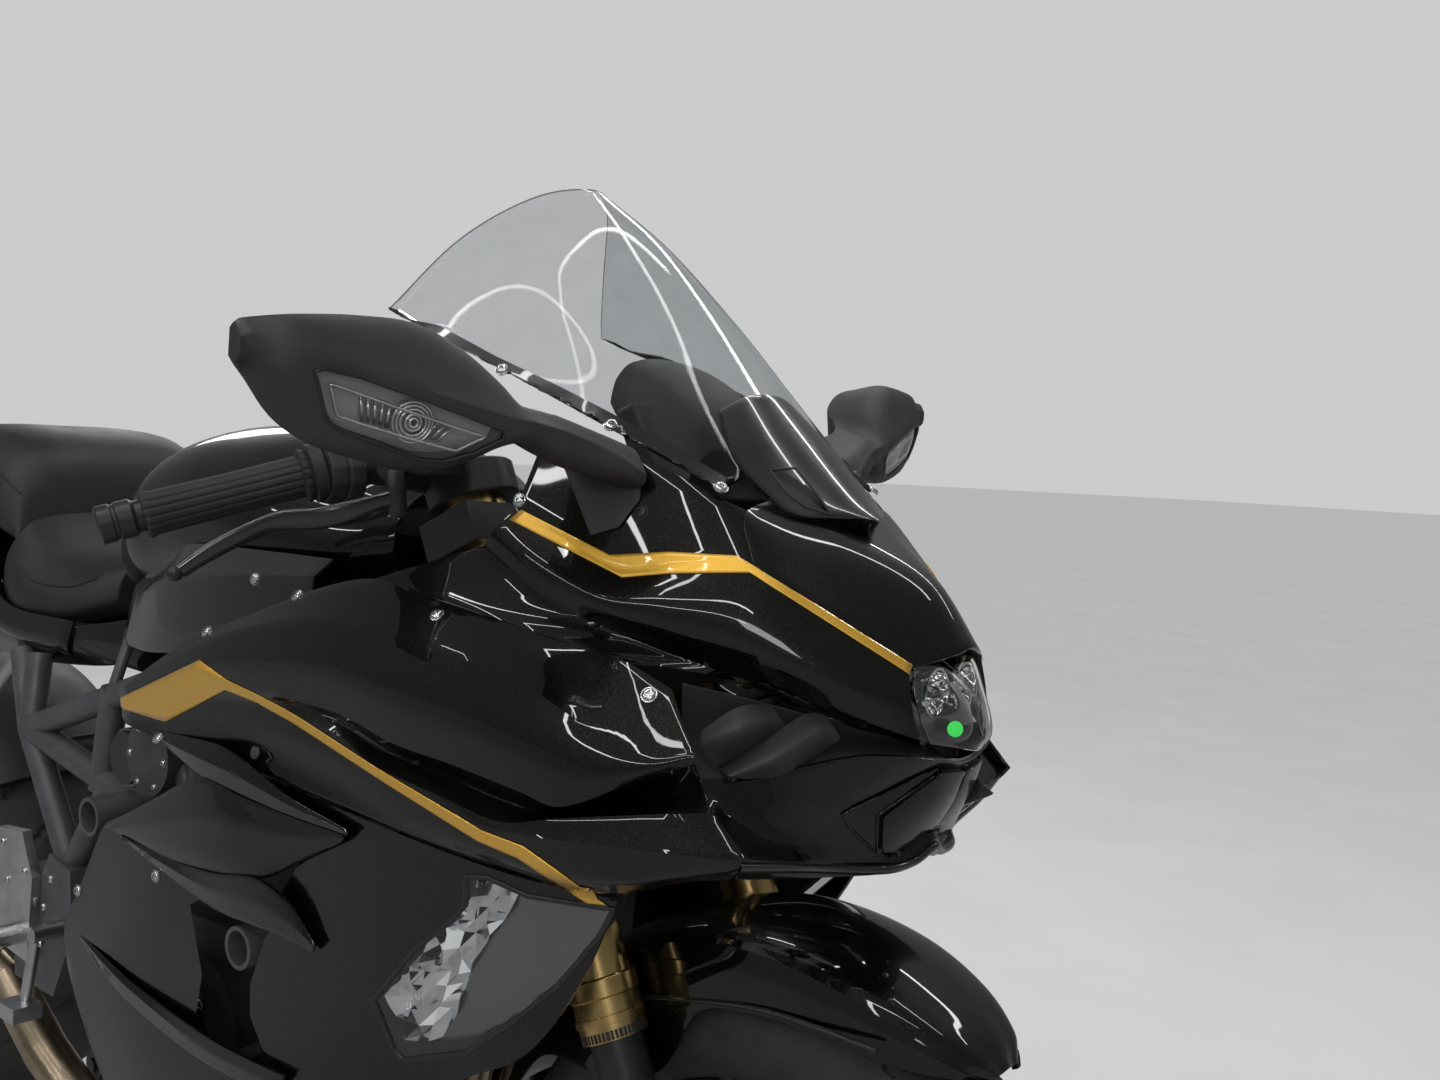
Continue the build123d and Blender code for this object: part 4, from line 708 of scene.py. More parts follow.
# Seam with the side fairing: pixel across, pixel down and y, then plain places
COWL_SEAM = [(376, 578, -197), (452, 603, -197), (530, 630, -192), (612, 656, -183)]
COWL_FLANGE = [(0, -129, 854), (44, -104, 840), (83, -76, 826), (112, -49, 814)]


def cowl_grids():
    """Right wing, left wing and the nose, on shared lines."""
    seam = [pin(*p) for p in COWL_SEAM] + [at(*p) for p in COWL_FLANGE]
    lines = [spline(seam, COWL_STEPS)] + [spline([at(*p) for p in row], COWL_STEPS) for row in COWL]
    crest = spline([at(*p) for p in COWL_CREST], COWL_STEPS)
    split = 4 * COWL_STEPS
    columns = [spline([line[i] for line in lines], 6, (1, 3)) for i in range(split + 1)]
    wing = [[c[j] for c in columns] for j in range(len(columns[0]))]
    nose = [spline(whole([line[i] for line in lines] + [crest[i - split]]), 6, (1, 3, 7, 9))
            for i in range(split, len(lines[0]))]
    return [wing, [[mirrored(p) for p in row] for row in wing], nose]


belong(panel("upper_cowl_skin", cowl_grids(), away_from(-120, 850)), nodes="upper_cowl")

# Side fairing: rows of pixel across, pixel down and y, from the top edge down; the pod's crease, its lower
# edge, the stripe's crease and the beam's edge are sharp
SIDE = [
    [(118, 690, -222), (184, 643, -219), (247, 615, -213), (327, 586, -204), (378, 579, -199),
     (438, 600, -198), (498, 620, -196), (560, 641, -193), (620, 659, -189), (672, 689, -182)],
    [(119, 694, -224), (188, 650, -225), (252, 627, -226), (320, 622, -227), (394, 643, -229),
     (474, 663, -229), (534, 691, -226), (584, 724, -220), (640, 744, -211), (691, 748, -199)],
    [(121, 700, -227), (192, 668, -232), (258, 662, -236), (330, 668, -239), (400, 694, -240),
     (470, 722, -239), (536, 752, -234), (596, 772, -226), (650, 768, -215), (694, 757, -201)],
    [(122, 709, -228), (196, 688, -232), (262, 694, -236), (336, 713, -237), (394, 744, -238),
     (450, 764, -237), (520, 792, -233), (560, 807, -229), (640, 780, -214), (694, 764, -200)],
    [(122, 712, -228), (197, 694, -231), (263, 699, -234), (334, 718, -227), (388, 752, -219),
     (446, 776, -215), (516, 806, -213), (566, 814, -208), (640, 800, -192), (700, 784, -184)],
    [(122, 716, -228), (197, 700, -231), (264, 704, -233), (326, 728, -234), (372, 764, -236),
     (438, 795, -236), (500, 822, -234), (552, 819, -229), (640, 815, -214), (712, 813, -199)],
    [(123, 719, -229), (198, 722, -232), (264, 730, -234), (330, 756, -235), (380, 790, -236),
     (448, 816, -237), (516, 834, -236), (584, 843, -229), (672, 854, -215), (742, 861, -199)],
    [(125, 722, -230), (198, 742, -235), (264, 756, -233), (334, 784, -234), (404, 820, -236),
     (478, 850, -235), (542, 872, -230), (610, 880, -220), (668, 878, -206), (738, 871, -194)],
    [(126, 724, -231), (199, 758, -238), (264, 774, -237), (338, 804, -236), (420, 838, -234),
     (515, 871, -222), (596, 893, -205), (640, 891, -198), (684, 883, -190), (730, 880, -184)]]
each_side(panel("side_fairing_skin_right", [dense(seen_rows(SIDE), 7, 5, (1, 3, 4, 5, 6))], sideways),
          "side_fairing")

# Lower fairing with its scoop, its lamp opening, the gap round the cover and the holes for the sliders
LOWER = [
    [(-606, -234, 730), (-508, -239, 719), (-410, -238, 722), (-310, -236, 716), (-215, -230, 708),
     (-125, -216, 700), (-46, -190, 694)],
    [(-666, -240, 632), (-560, -244, 625), (-445, -238, 625), (-335, -236, 625), (-240, -228, 625),
     (-150, -210, 625), (-80, -190, 622)],
    [(-702, -242, 566), (-590, -246, 562), (-470, -240, 562), (-370, -236, 562), (-280, -228, 562),
     (-205, -212, 560), (-128, -194, 556)],
    [(-736, -243, 500), (-620, -246, 500), (-490, -240, 502), (-400, -236, 505), (-325, -228, 508),
     (-262, -214, 508), (-204, -198, 508)],
    [(-700, -238, 412), (-600, -240, 402), (-505, -238, 398), (-425, -232, 398), (-365, -226, 402),
     (-320, -214, 408), (-288, -200, 418)],
    [(-655, -222, 330), (-585, -222, 318), (-505, -220, 308), (-440, -216, 306), (-395, -210, 310),
     (-355, -200, 320), (-330, -192, 336)],
    [(-620, -172, 226), (-560, -172, 216), (-500, -172, 210), (-450, -170, 210), (-415, -168, 216),
     (-385, -164, 226), (-365, -160, 246)]]
LAMP_PX = [
    (466, 876), (488, 878), (528, 896), (614, 909), (600, 936), (560, 984), (516, 1020), (468, 1052),
    (404, 1060), (394, 1050), (374, 1000), (416, 948), (452, 920), (466, 904)]
SCOOP_PX = [
    (300, 862), (282, 892), (278, 916), (264, 940), (250, 985), (250, 1016), (262, 1048), (284, 1080),
    (214, 1044), (196, 1012), (202, 975), (190, 905), (214, 890), (262, 878)]
COVER_GAP_PX = [
    (120, 716), (152, 728), (160, 736), (199, 774), (197, 783), (150, 803), (107, 822), (99, 832),
    (60, 820), (60, 730)]
SLIDERS = [(-695, 629), (-435, 568)]
SLIDER_HOLE_R = 22.0
lower_cuts = [ray_prism(SCOOP_PX, 0.9, 2.4), ray_prism(LAMP_PX, 0.7, 1.9), ray_prism(COVER_GAP_PX, 1.3, 2.15)]
for x, z in SLIDERS:
    hole = circle(x, z, SLIDER_HOLE_R, 24)
    lower_cuts.append(cutter_of([at(a, -300, b) for a, b in hole], [at(a, -150, b) for a, b in hole]))
each_side(panel("lower_fairing_skin_right", [dense(LOWER, 8, 6)], sideways, cutters=lower_cuts),
          "lower_fairing")

# Blades and fins that stand off the lower fairing: rows of pixel across, pixel down and y
BLADES = {
    "upper_blade": [
        [(150, 730, -240), (188, 737, -245), (226, 749, -248), (286, 795, -248), (346, 829, -243)],
        [(154, 736, -244), (196, 757, -251), (238, 777, -252), (290, 806, -250), (347, 833, -244)],
        [(158, 740, -242), (200, 775, -247), (242, 796, -248), (292, 816, -247), (346, 836, -242)]],
    "middle_panel": [
        [(104, 827, -241), (150, 801, -245), (200, 778, -248), (242, 797, -249), (292, 817, -247),
         (343, 835, -243)],
        [(110, 829, -244), (160, 822, -252), (214, 816, -255), (260, 829, -252), (300, 838, -248),
         (344, 838, -243)],
        [(116, 832, -244), (165, 848, -252), (210, 861, -255), (250, 863, -252), (282, 857, -248),
         (340, 843, -242)],
        [(120, 834, -243), (165, 857, -250), (212, 873, -252), (254, 880, -250), (278, 874, -244),
         (300, 862, -240)]],
    "lower_blade": [
        [(120, 834, -243), (165, 857, -250), (212, 873, -254), (258, 880, -253), (290, 906, -248),
         (314, 942, -242)],
        [(122, 836, -245), (160, 862, -253), (214, 892, -255), (256, 904, -254), (290, 924, -249),
         (314, 947, -243)],
        [(121, 838, -242), (150, 862, -246), (214, 909, -248), (252, 925, -248), (288, 939, -245),
         (312, 953, -240)]],
    "foot_blade": [
        [(78, 932, -243), (102, 954, -248), (134, 984, -250), (210, 1039, -248), (284, 1077, -240)],
        [(80, 936, -245), (102, 962, -252), (132, 992, -253), (206, 1050, -249), (280, 1086, -240)],
        [(79, 940, -242), (100, 970, -246), (128, 1002, -246), (200, 1060, -243), (272, 1096, -237)]]}
for name, rows in BLADES.items():
    sharp = (1, 2) if len(rows) > 3 else (1,)
    twin(panel(name + "_right", [dense(seen_rows(rows), 8, 5, sharp)], sideways, 3.0, bevel=0.7))

# Chin: rows of pixel across, pixel down and y for the right half, up to the middle
CHIN = [
    [(690, 779, -184), (757, 776, -147), (857, 757, -95), (903, 758, -68), (942, 761, -35), (968, 760, 0)],
    [(702, 798, -186), (765, 806, -145), (842, 806, -94), (860, 802, -80), (936, 768, -34), (963, 768, 0)],
    [(712, 812, -187), (768, 828, -144), (838, 826, -90), (880, 820, -64), (932, 800, -27), (950, 797, 0)],
    [(722, 826, -188), (774, 842, -142), (840, 848, -84), (878, 853, -54), (904, 847, -24), (930, 828, 0)],
    [(742, 860, -190), (790, 862, -141), (838, 863, -84), (886, 866, -47), (914, 857, -20), (936, 838, 0)],
    [(736, 880, -184), (790, 879, -136), (838, 877, -82), (884, 874, -45), (908, 867, -20), (927, 856, 0)]]
CHINS = ["chin_skin"]
chin_rows = [whole(row) for row in seen_rows(CHIN)]
chin = panel("chin_skin", [dense(chin_rows, 6, 5, (1, 3, 4))], away_from(-160, 760))
belong(chin, nodes="chin_cowl")

# Nose cover, the hollows beside it, the lip below and the small wing
NOSE_PX = [(881, 816), (940, 770), (962, 769), (950, 797), (930, 830), (912, 845), (893, 854), (879, 853)]
HOLLOW_PX = [(936, 768), (842, 814), (850, 828), (876, 853), (877, 815), (938, 773)]
LIP = [(738, 868, -190), (790, 868, -141), (838, 869, -84), (888, 869, -48), (914, 861, -20), (934, 846, 0)]
WING_PX = [(960, 772), (969, 769), (996, 794), (946, 812), (940, 806)]
WING_Y = 44
twin(patch("chin_hollow_right", HOLLOW_PX, CHINS, "paint", 0.8, 1.0, 6, 0.3, outward=toward_camera))
twin(patch("nose_cover_right", NOSE_PX, CHINS, "paint", 4.0, 4.2, 6, 1.4, outward=toward_camera))
twin(rim("hollow_edge_right", HOLLOW_PX, CHINS, "paint", 1.3, 1.0))
belong(bead("chin_lip", spline(whole([pin(*p) for p in LIP]), 8), 3.6, "gloss", sides=12))
wing_top = [pin(px, py, WING_Y) for px, py in WING_PX]
wing_low = [v + Vector((-0.012, -0.004, -0.006)) for v in wing_top]
wing = outwards(object_of("small_wing_left", *block(wing_top, wing_low), "gloss"))
belong(edges_by_angle(rounded(wing, 1.2, 3, 30), 40))

# Dark lining of the intakes
LINING = [
    [(682, 684, -156), (740, 698, -136), (800, 714, -104), (860, 732, -70), (925, 745, -36)],
    [(682, 740, -150), (740, 742, -124), (800, 748, -90), (860, 750, -58), (925, 754, -28)],
    [(682, 806, -158), (740, 800, -128), (800, 796, -96), (860, 782, -62), (925, 766, -26)]]
twin(panel("intake_lining_right", [dense(seen_rows(LINING), 6, 6)], sideways, 2.0, "matte", bevel=0))

# Vanes in the intakes
VANES = {
    "upper": [
        [(702, 730, -166), (738, 707, -148), (770, 704, -124)],
        [(699, 746, -172), (742, 728, -158), (779, 716, -126)],
        [(714, 768, -162), (750, 750, -146), (787, 727, -120)]],
    "lower": [
        [(719, 769, -160), (765, 740, -138), (805, 714, -108), (823, 714, -98)],
        [(729, 776, -168), (776, 758, -150), (818, 733, -116), (833, 726, -100)],
        [(744, 779, -160), (780, 776, -138), (818, 754, -108), (841, 739, -94)]]}
for word, rows in VANES.items():
    vane = panel("vane_" + word + "_right", [dense(seen_rows(rows), 8, 8)], sideways, 7.0, "matte", bevel=1.6)
    twin(vane, nodes="intake_vanes")

# Windscreen: right half, up to the middle
SCREEN = [
    [(-36, -108, 992), (-34, -74, 1002), (-32, -36, 1006), (-31, 0, 1007)],
    [(-123, -140, 1034), (-108, -96, 1062), (-98, -48, 1072), (-95, 0, 1075)],
    [(-238, -150, 1078), (-190, -106, 1128), (-170, -54, 1144), (-163, 0, 1149)],
    [(-310, -150, 1102), (-258, -104, 1172), (-236, -52, 1202), (-228, 0, 1211)],
    [(-392, -138, 1130), (-352, -94, 1196), (-306, -46, 1238), (-280, 0, 1249)]]
SCREENS = ["windscreen_skin"]
screen_rows = [whole(row) for row in SCREEN]
screen = panel("windscreen_skin", [dense(screen_rows, 8, 8)], away_from(-330, 930), 3.0, "screen", bevel=0.6)
belong(screen, nodes="windscreen")

# Black band with screws along the foot of the screen
TRIM_PX = [
    (381, 314), (440, 326), (497, 357), (560, 387), (608, 412), (668, 445), (726, 478), (724, 502),
    (664, 470), (608, 439), (560, 414), (497, 381), (440, 348), (385, 330)]
twin(patch("screen_band_right", TRIM_PX, SCREENS, "gloss", 1.0, 2.2, 6, 0.4))

# Gold stripes: matching lines of pixels along their two edges
SIDE_STRIPE = (
    [(121, 698), (200, 660), (228, 680), (262, 696), (298, 716), (378, 768), (482, 830), (524, 846),
     (608, 906)],
    [(121, 708), (166, 722), (226, 690), (258, 703), (292, 722), (384, 782), (478, 841), (518, 858),
     (590, 905)])
COWL_STRIPE = (
    [(522, 510), (610, 555), (670, 552), (737, 556), (795, 592), (912, 665)],
    [(510, 520), (622, 578), (670, 574), (750, 573), (800, 605), (910, 675)])
COWLS, PODS, LOWERS = ["upper_cowl_skin"], ["side_fairing_skin_right"], ["lower_fairing_skin_right"]
twin(ribbon("side_stripe_right", *SIDE_STRIPE, PODS + LOWERS, 16, 6))
twin(ribbon("cowl_stripe_right", *COWL_STRIPE, COWLS, 16, 6))

# Mirrors: y, then x and z round the section
MIRROR = [
    (-426, [(-181, 1062), (-180, 1080), (-174, 1083), (-168, 1074), (-169, 1063), (-173, 1059)]),
    (-414, [(-192, 1056), (-192, 1082), (-184, 1087), (-171, 1077), (-167, 1062), (-181, 1051)]),
    (-395, [(-192, 1037), (-192, 1086), (-169, 1090), (-157, 1070), (-158, 1048), (-180, 1026)]),
    (-375, [(-192, 1024), (-192, 1089), (-163, 1092), (-148, 1064), (-152, 1034), (-166, 1010)]),
    (-343, [(-192, 1012), (-192, 1091), (-158, 1094), (-137, 1054), (-143, 1022), (-156, 1001)]),
    (-305, [(-192, 999), (-192, 1090), (-150, 1093), (-125, 1047), (-132, 1015), (-147, 995)]),
    (-275, [(-190, 1004), (-190, 1082), (-143, 1082), (-116, 1040), (-122, 1012), (-137, 1000)]),
    (-250, [(-176, 1018), (-182, 1066), (-131, 1062), (-109, 1034), (-112, 1020), (-122, 1014)]),
    (-232, [(-150, 1022), (-160, 1052), (-121, 1043), (-104, 1032), (-106, 1022), (-114, 1017)]),
    (-205, [(-138, 1010), (-146, 1042), (-110, 1037), (-97, 1026), (-97, 1012), (-108, 1004)]),
    (-170, [(-140, 1000), (-148, 1032), (-98, 1026), (-84, 1012), (-82, 1000), (-96, 994)]),
    (-145, [(-144, 998), (-148, 1024), (-92, 1018), (-76, 998), (-80, 990), (-104, 988)])]
LENS_PX = [
    (315, 371), (325, 369), (360, 377), (420, 398), (505, 431), (503, 440), (473, 454), (443, 462),
    (420, 460), (347, 433), (331, 425), (325, 413)]
LENS_INNER_PX = [
    (331, 384), (351, 391), (395, 407), (455, 428), (487, 438), (457, 453), (407, 439), (361, 425),
    (338, 417)]
MIRRORS = ["mirror_right"]
mirror_rings = [[at(x, y, z) for x, z in ring] for y, ring in MIRROR]
mirror = lofted("mirror_right", mirror_rings, "matte", 5, 6, (0, 1, 3), 1.0)
lens_far = far(410, 415, MIRRORS)
carve(mirror, [ray_prism(LENS_PX, lens_far - 0.08, lens_far + 0.034)])
twin(edges_by_angle(mirror, 35), nodes="mirrors")
twin(patch("signal_back_right", LENS_PX, MIRRORS, "signal", -10.0, 1.0, 8, outward=toward_camera))
twin(patch("signal_cover_right", LENS_PX, MIRRORS, "lens", -0.6, 1.2, 8, outward=toward_camera),
     nodes="mirror_signals")
twin(rim("signal_frame_right", LENS_PX, MIRRORS, "soft", 1.3))
twin(rim("signal_inner_right", LENS_INNER_PX, MIRRORS, "alloy", 1.1, -3.0))


def signal_insides():
    """Ribs, bulb rings and bulb behind the signal's cover."""
    pieces = []
    for t in (0.20, 0.25, 0.30, 0.35, 0.40, 0.62, 0.67, 0.72, 0.77, 0.82):
        top = Vector((334, 386)).lerp(Vector((484, 438)), t)
        low = Vector((341, 417)).lerp(Vector((460, 452)), t)
        pieces.append(tube_mesh([lifted(*top, MIRRORS, -7), lifted(*low, MIRRORS, -7)], 1.2, 8))
    where, normal = seen_on(415, 424, MIRRORS)
    for r, depth in ((14.0, 5.0), (11.5, 4.6), (9.0, 4.2), (5.5, 3.6), (3.0, 3.0)):
        ring = ring_at(where - normal * (depth / 1000), *axes_across(normal), r, 20)
        pieces.append(tube_mesh(ring, 1.1, 6, closed=True))
    return outwards(object_of("signal_insides_right", *merged(pieces), "alloy"))


twin(signal_insides())

# Silvered glass on the back of each mirror: its outline as y and z
GLASS = [(-400, 1050), (-400, 1077), (-345, 1084), (-284, 1078), (-282, 1016), (-343, 1019)]
GLASS_X, GLASS_SHARE = -192.3, 0.98


def mirror_back():
    """Plate a little smaller than the outline, with soft edges."""
    middle = Vector((0, sum(y for y, z in GLASS) / 6, sum(z for y, z in GLASS) / 6))
    fine = closed_spline([Vector((0, y, z)) for y, z in GLASS], 8)
    ring = [at(GLASS_X, *(middle + (q - middle) * GLASS_SHARE).yz) for q in fine]
    verts, faces = grid_mesh([ring, [p + Vector((-0.0024, 0, 0)) for p in ring]], closed=True)
    n = len(ring)
    faces += [tuple(range(n)), tuple(range(2 * n - 1, n - 1, -1))]
    obj = outwards(object_of("mirror_glass_right", verts, faces, "mirror"))
    return edges_by_angle(rounded(obj, 0.8), 35)


twin(mirror_back(), nodes="mirror_glass")

# Cap over the foot of the screen, with its vent: right half, up to the middle
CAP = [
    [(-80, -58, 1052), (-76, -28, 1064), (-74, 0, 1067)],
    [(-44, -78, 1012), (-36, -38, 1026), (-33, 0, 1030)],
    [(0, -66, 976), (8, -32, 986), (12, 0, 989)],
    [(20, -30, 972), (32, -14, 973), (38, 0, 972)]]
VENT_PX = [(770, 470), (796, 468), (814, 490), (832, 515), (806, 507), (786, 492)]
CAPS = ["screen_cap_skin"]
cap_rows = [whole(row) for row in CAP]
cap = panel("screen_cap_skin", [dense(cap_rows, 8, 8)], away_from(-120, 900), 4.0, "gloss", bevel=1.2)
vent_far = far(800, 490, CAPS)
carve(cap, [ray_prism(VENT_PX, vent_far - 0.05, vent_far + 0.006)])
belong(edges_by_angle(cap, 35), nodes="screen_cap")
belong(patch("cap_vent", VENT_PX, CAPS, "matte", -3.2, 1.0, 6, outward=toward_camera))
belong(rim("cap_vent_edge", VENT_PX, CAPS, "matte", 1.1))

# Hood over the instruments and the display: x, then y and z from the middle outwards
HOOD = [
    (-96, [(0, 1022), (34, 1020), (56, 1012), (70, 998), (74, 980)]),
    (-112, [(0, 1052), (38, 1048), (64, 1032), (78, 1008), (82, 984)]),
    (-140, [(0, 1076), (42, 1070), (68, 1052), (80, 1026), (82, 1004)]),
    (-168, [(0, 1090), (44, 1084), (66, 1066), (74, 1048), (75, 1034)]),
    (-192, [(0, 1096), (40, 1090), (57, 1076), (62, 1064), (64, 1054)])]
hood_rows = [whole([(x, -y, z) for y, z in reversed(half)]) for x, half in HOOD]
belong(panel("dash_hood", [dense(hood_rows, 6, 8)], away_from(-200, 980), 3.0, "matte", bevel=1.0))


def dash_face(name, half_y, low, high, ahead, finish, bevel):
    """Slab that leans back between two heights, facing the rider."""
    (x0, z0), (x1, z1) = low, high
    back = Vector((ahead / 1000, 0, ahead / 2200))
    face = [at(x0, -half_y, z0), at(x0, half_y, z0), at(x1, half_y * 1.05, z1), at(x1, -half_y * 1.05, z1)]
    verts, faces = block(face, [v + back for v in face])
    return edges_by_angle(rounded(outwards(object_of(name, verts, faces, finish)), bevel, 4, 30), 40)


belong(dash_face("dash_housing", 84, (-128, 966), (-166, 1046), 22, "matte", 5), nodes="instrument_panel")
belong(dash_face("dash_screen", 66, (-133.5, 980), (-163.5, 1040), 3, "display", 1.5))

# Head lamp: clear cover, dark bezel, two reflector bowls and the round mark on the cover
LAMP_COVER = [
    [(913, 662, -47), (937, 656, -24), (956, 668, 0)],
    [(914, 680, -47), (948, 676, -24), (974, 690, 0)],
    [(916, 700, -47), (955, 702, -24), (987, 712, 0)],
    [(922, 724, -46), (958, 730, -24), (990, 736, 0)],
    [(930, 744, -42), (955, 748, -24), (978, 751, 0)]]
BOWL_Y, BOWL_Z, BOWL_R, BOWL_DEEP = 22, 850, 17.0, 20.0
BOWL = [(BOWL_R, 0), (BOWL_R * 0.98, -2)]
BOWL += [(BOWL_R * (1 - k / 8) + 2, -2 - BOWL_DEEP * (1 - (1 - k / 8) ** 2)) for k in range(1, 9)]
BOWL_EDGE = [(18.6, 0), (18.6, 2.4), (16.6, 2.4), (16.6, 0), (18.6, 0)]
BULB = [(0.2, 5), (3.0, 4.2), (4.4, 1.5), (4.6, -12), (0.2, -12)]
cover_rows = [whole(row) for row in seen_rows(LAMP_COVER)]
cover = panel("headlamp_cover", [dense(cover_rows, 10, 6)], away_from(60, 850), 1.8, "lens", bevel=0.5)
belong(cover, nodes="front_lamps")
bowl_cuts = []
for side, word in BOTH_SIDES:
    middle = at(106, side * BOWL_Y, BOWL_Z)
    belong(turned("headlamp_bowl_" + word, BOWL, middle, "chrome", 40, "X"))
    belong(turned("headlamp_ring_" + word, BOWL_EDGE, middle, "chrome", 48, "X"))
    belong(turned("headlamp_bulb_" + word, BULB, middle, "lens", 24, "X"))
    fins = []
    for k in range(12):
        run = Vector((0, math.cos(math.tau * k / 12), math.sin(math.tau * k / 12)))
        fins.append(tube_mesh([middle + run * 0.008 + Vector((-0.008, 0, 0)), middle + run * 0.0158], 0.7, 6))
    belong(outwards(object_of("headlamp_facets_" + word, *merged(fins), "chrome")))
    ring = circle(side * BOWL_Y, BOWL_Z, BOWL_R, 32)
    bowl_cuts.append(cutter_of([at(60, y, z) for y, z in ring], [at(180, y, z) for y, z in ring]))
bezel_rows = [[Vector((v.x - 0.016, v.y * 0.96, v.z)) for v in row] for row in cover_rows]
bezel = panel("headlamp_bezel", [dense(bezel_rows, 8, 5)], away_from(60, 850), 1.5, "gloss", bevel=0)
belong(carve(bezel, bowl_cuts))
mark = circle(955, 729, 8, 20)
belong(patch("round_mark", mark, ["headlamp_cover"], "green", 0.4, 0.3, 4, outward=toward_camera))

# Cornering lamps: clear cover, frame, faceted reflector in front and a smoky one behind
FACET_PX = [
    (469, 882), (490, 884), (512, 894), (505, 916), (486, 938), (468, 966), (458, 990), (452, 1016),
    (434, 1046), (404, 1054), (380, 1000), (420, 950), (456, 922)]
SMOKE_PX = [
    (508, 893), (528, 899), (608, 912), (596, 934), (556, 982), (514, 1016), (466, 1046), (430, 1052),
    (450, 1018), (458, 990), (468, 966), (486, 938), (503, 916)]
twin(patch("corner_cover_right", LAMP_PX, LOWERS, "lens", 0.0, 1.8, 9, 0.4), nodes="front_lamps")
twin(rim("corner_frame_right", LAMP_PX, LOWERS, "soft", 2.4, -0.4))
twin(patch("corner_smoke_right", SMOKE_PX, LOWERS, "smoke", -13.0, 1.0, 10))
twin(patch("corner_back_right", LAMP_PX, LOWERS, "soft", -24.0, 2.0, 12))


def facets(name):
    """Crumpled bright reflector: flat faces at changing depths."""
    flat, faces = filled(FACET_PX, 13)
    verts = [lifted(px.x, px.y, LOWERS, -random.uniform(5.0, 19.0)) for px in flat]
    return thickened(object_of(name, verts, facing(verts, faces, sideways), "chrome", smooth=False), 0.8)


twin(facets("corner_facets_right"))

# Round cover behind the fairing's upper corner
CAP_PROFILE = [(0.2, 9), (20, 8.4), (21, 7.2), (25, 7.0), (26.5, 5.5), (26.5, -14), (0.2, -14)]
CAP_RING = [(27, 8), (29.5, 8), (30, 6), (30, -10), (27, -10), (27, 8)]
belong(turned("blower_cap", CAP_PROFILE, pin(137, 756, -190), "soft", 64))
belong(turned("blower_cap_ring", CAP_RING, pin(137, 756, -190), "gloss", 64))

# Screws with sockets on the panels, and the foot of the mirror
FOOT_PX = [(560, 440), (600, 466), (642, 482), (641, 500), (620, 528), (592, 536), (578, 500), (566, 470)]
fasten("panel_screws", [
    (497, 370, SCREENS), (611, 425, SCREENS), (722, 491, SCREENS), (437, 615, PODS), (649, 695, PODS),
    (300, 593, PODS), (208, 630, PODS), (156, 876, LOWERS), (26, 873, LOWERS),
    (158, 738, ["upper_blade_right"])])
fasten("cowl_screws", [(503, 494, COWLS)], r=5.0)
fasten("dark_screws", [(641, 512, COWLS)], material="soft", r=5.0)
twin(patch("mirror_foot_right", FOOT_PX, COWLS, "matte", 3.0, 3.0, 7, 1.0))

# Fuel tank, seats and tail: x, then half of the outline from the top middle to the bottom middle
TANK = [
    (-420, [(0, 975), (58, 970), (92, 945), (100, 905), (84, 872), (0, 872)]),
    (-470, [(0, 1000), (78, 992), (120, 962), (140, 908), (120, 862), (0, 862)]),
    (-560, [(0, 1020), (92, 1012), (146, 974), (162, 905), (138, 846), (0, 846)]),
    (-660, [(0, 1024), (98, 1014), (152, 974), (162, 898), (132, 832), (0, 832)]),
    (-740, [(0, 1018), (98, 1004), (148, 966), (156, 890), (124, 824), (0, 824)]),
    (-800, [(0, 998), (94, 984), (144, 944), (150, 880), (116, 818), (0, 818)]),
    (-850, [(0, 958), (84, 944), (124, 908), (130, 866), (104, 815), (0, 815)]),
    (-880, [(0, 925), (64, 915), (98, 886), (104, 850), (92, 814), (0, 814)])]
RIDER_SEAT = [
    (-885, [(0, 873), (66, 869), (104, 850), (116, 818), (100, 802), (0, 802)]),
    (-915, [(0, 858), (84, 856), (124, 838), (134, 806), (116, 790), (0, 790)]),
    (-950, [(0, 846), (98, 846), (138, 826), (146, 796), (130, 780), (0, 780)]),
    (-1010, [(0, 850), (112, 852), (152, 828), (158, 796), (142, 778), (0, 778)]),
    (-1050, [(0, 876), (116, 874), (152, 842), (158, 800), (144, 780), (0, 780)]),
    (-1082, [(0, 902), (112, 896), (146, 860), (152, 812), (140, 790), (0, 790)])]
PILLION_SEAT = [
    (-1088, [(0, 900), (84, 898), (124, 884), (134, 868), (122, 858), (0, 858)]),
    (-1097, [(0, 960), (86, 955), (126, 924), (137, 876), (124, 864), (0, 864)]),
    (-1120, [(0, 986), (98, 980), (138, 944), (145, 888), (130, 872), (0, 872)]),
    (-1180, [(0, 1004), (102, 999), (141, 965), (147, 912), (132, 898), (0, 898)]),
    (-1300, [(0, 1006), (98, 1000), (133, 970), (140, 930), (124, 916), (0, 916)]),
    (-1400, [(0, 993), (82, 987), (108, 952), (113, 938), (100, 926), (0, 926)]),
    (-1419, [(0, 980), (70, 974), (98, 958), (104, 942), (94, 930), (0, 930)])]
TAIL = [
    (-900, [(0, 788), (132, 788), (158, 792), (164, 760), (150, 748), (0, 748)]),
    (-1060, [(0, 788), (140, 788), (162, 800), (168, 768), (152, 752), (0, 752)]),
    (-1130, [(0, 860), (140, 862), (154, 862), (164, 800), (146, 765), (0, 765)]),
    (-1250, [(0, 895), (136, 897), (150, 895), (150, 830), (130, 800), (0, 800)]),
    (-1420, [(0, 928), (104, 928), (112, 922), (112, 870), (96, 848), (0, 848)]),
    (-1500, [(0, 945), (70, 940), (90, 922), (88, 888), (76, 876), (0, 876)]),
    (-1555, [(0, 930), (48, 926), (62, 912), (60, 896), (52, 890), (0, 890)])]
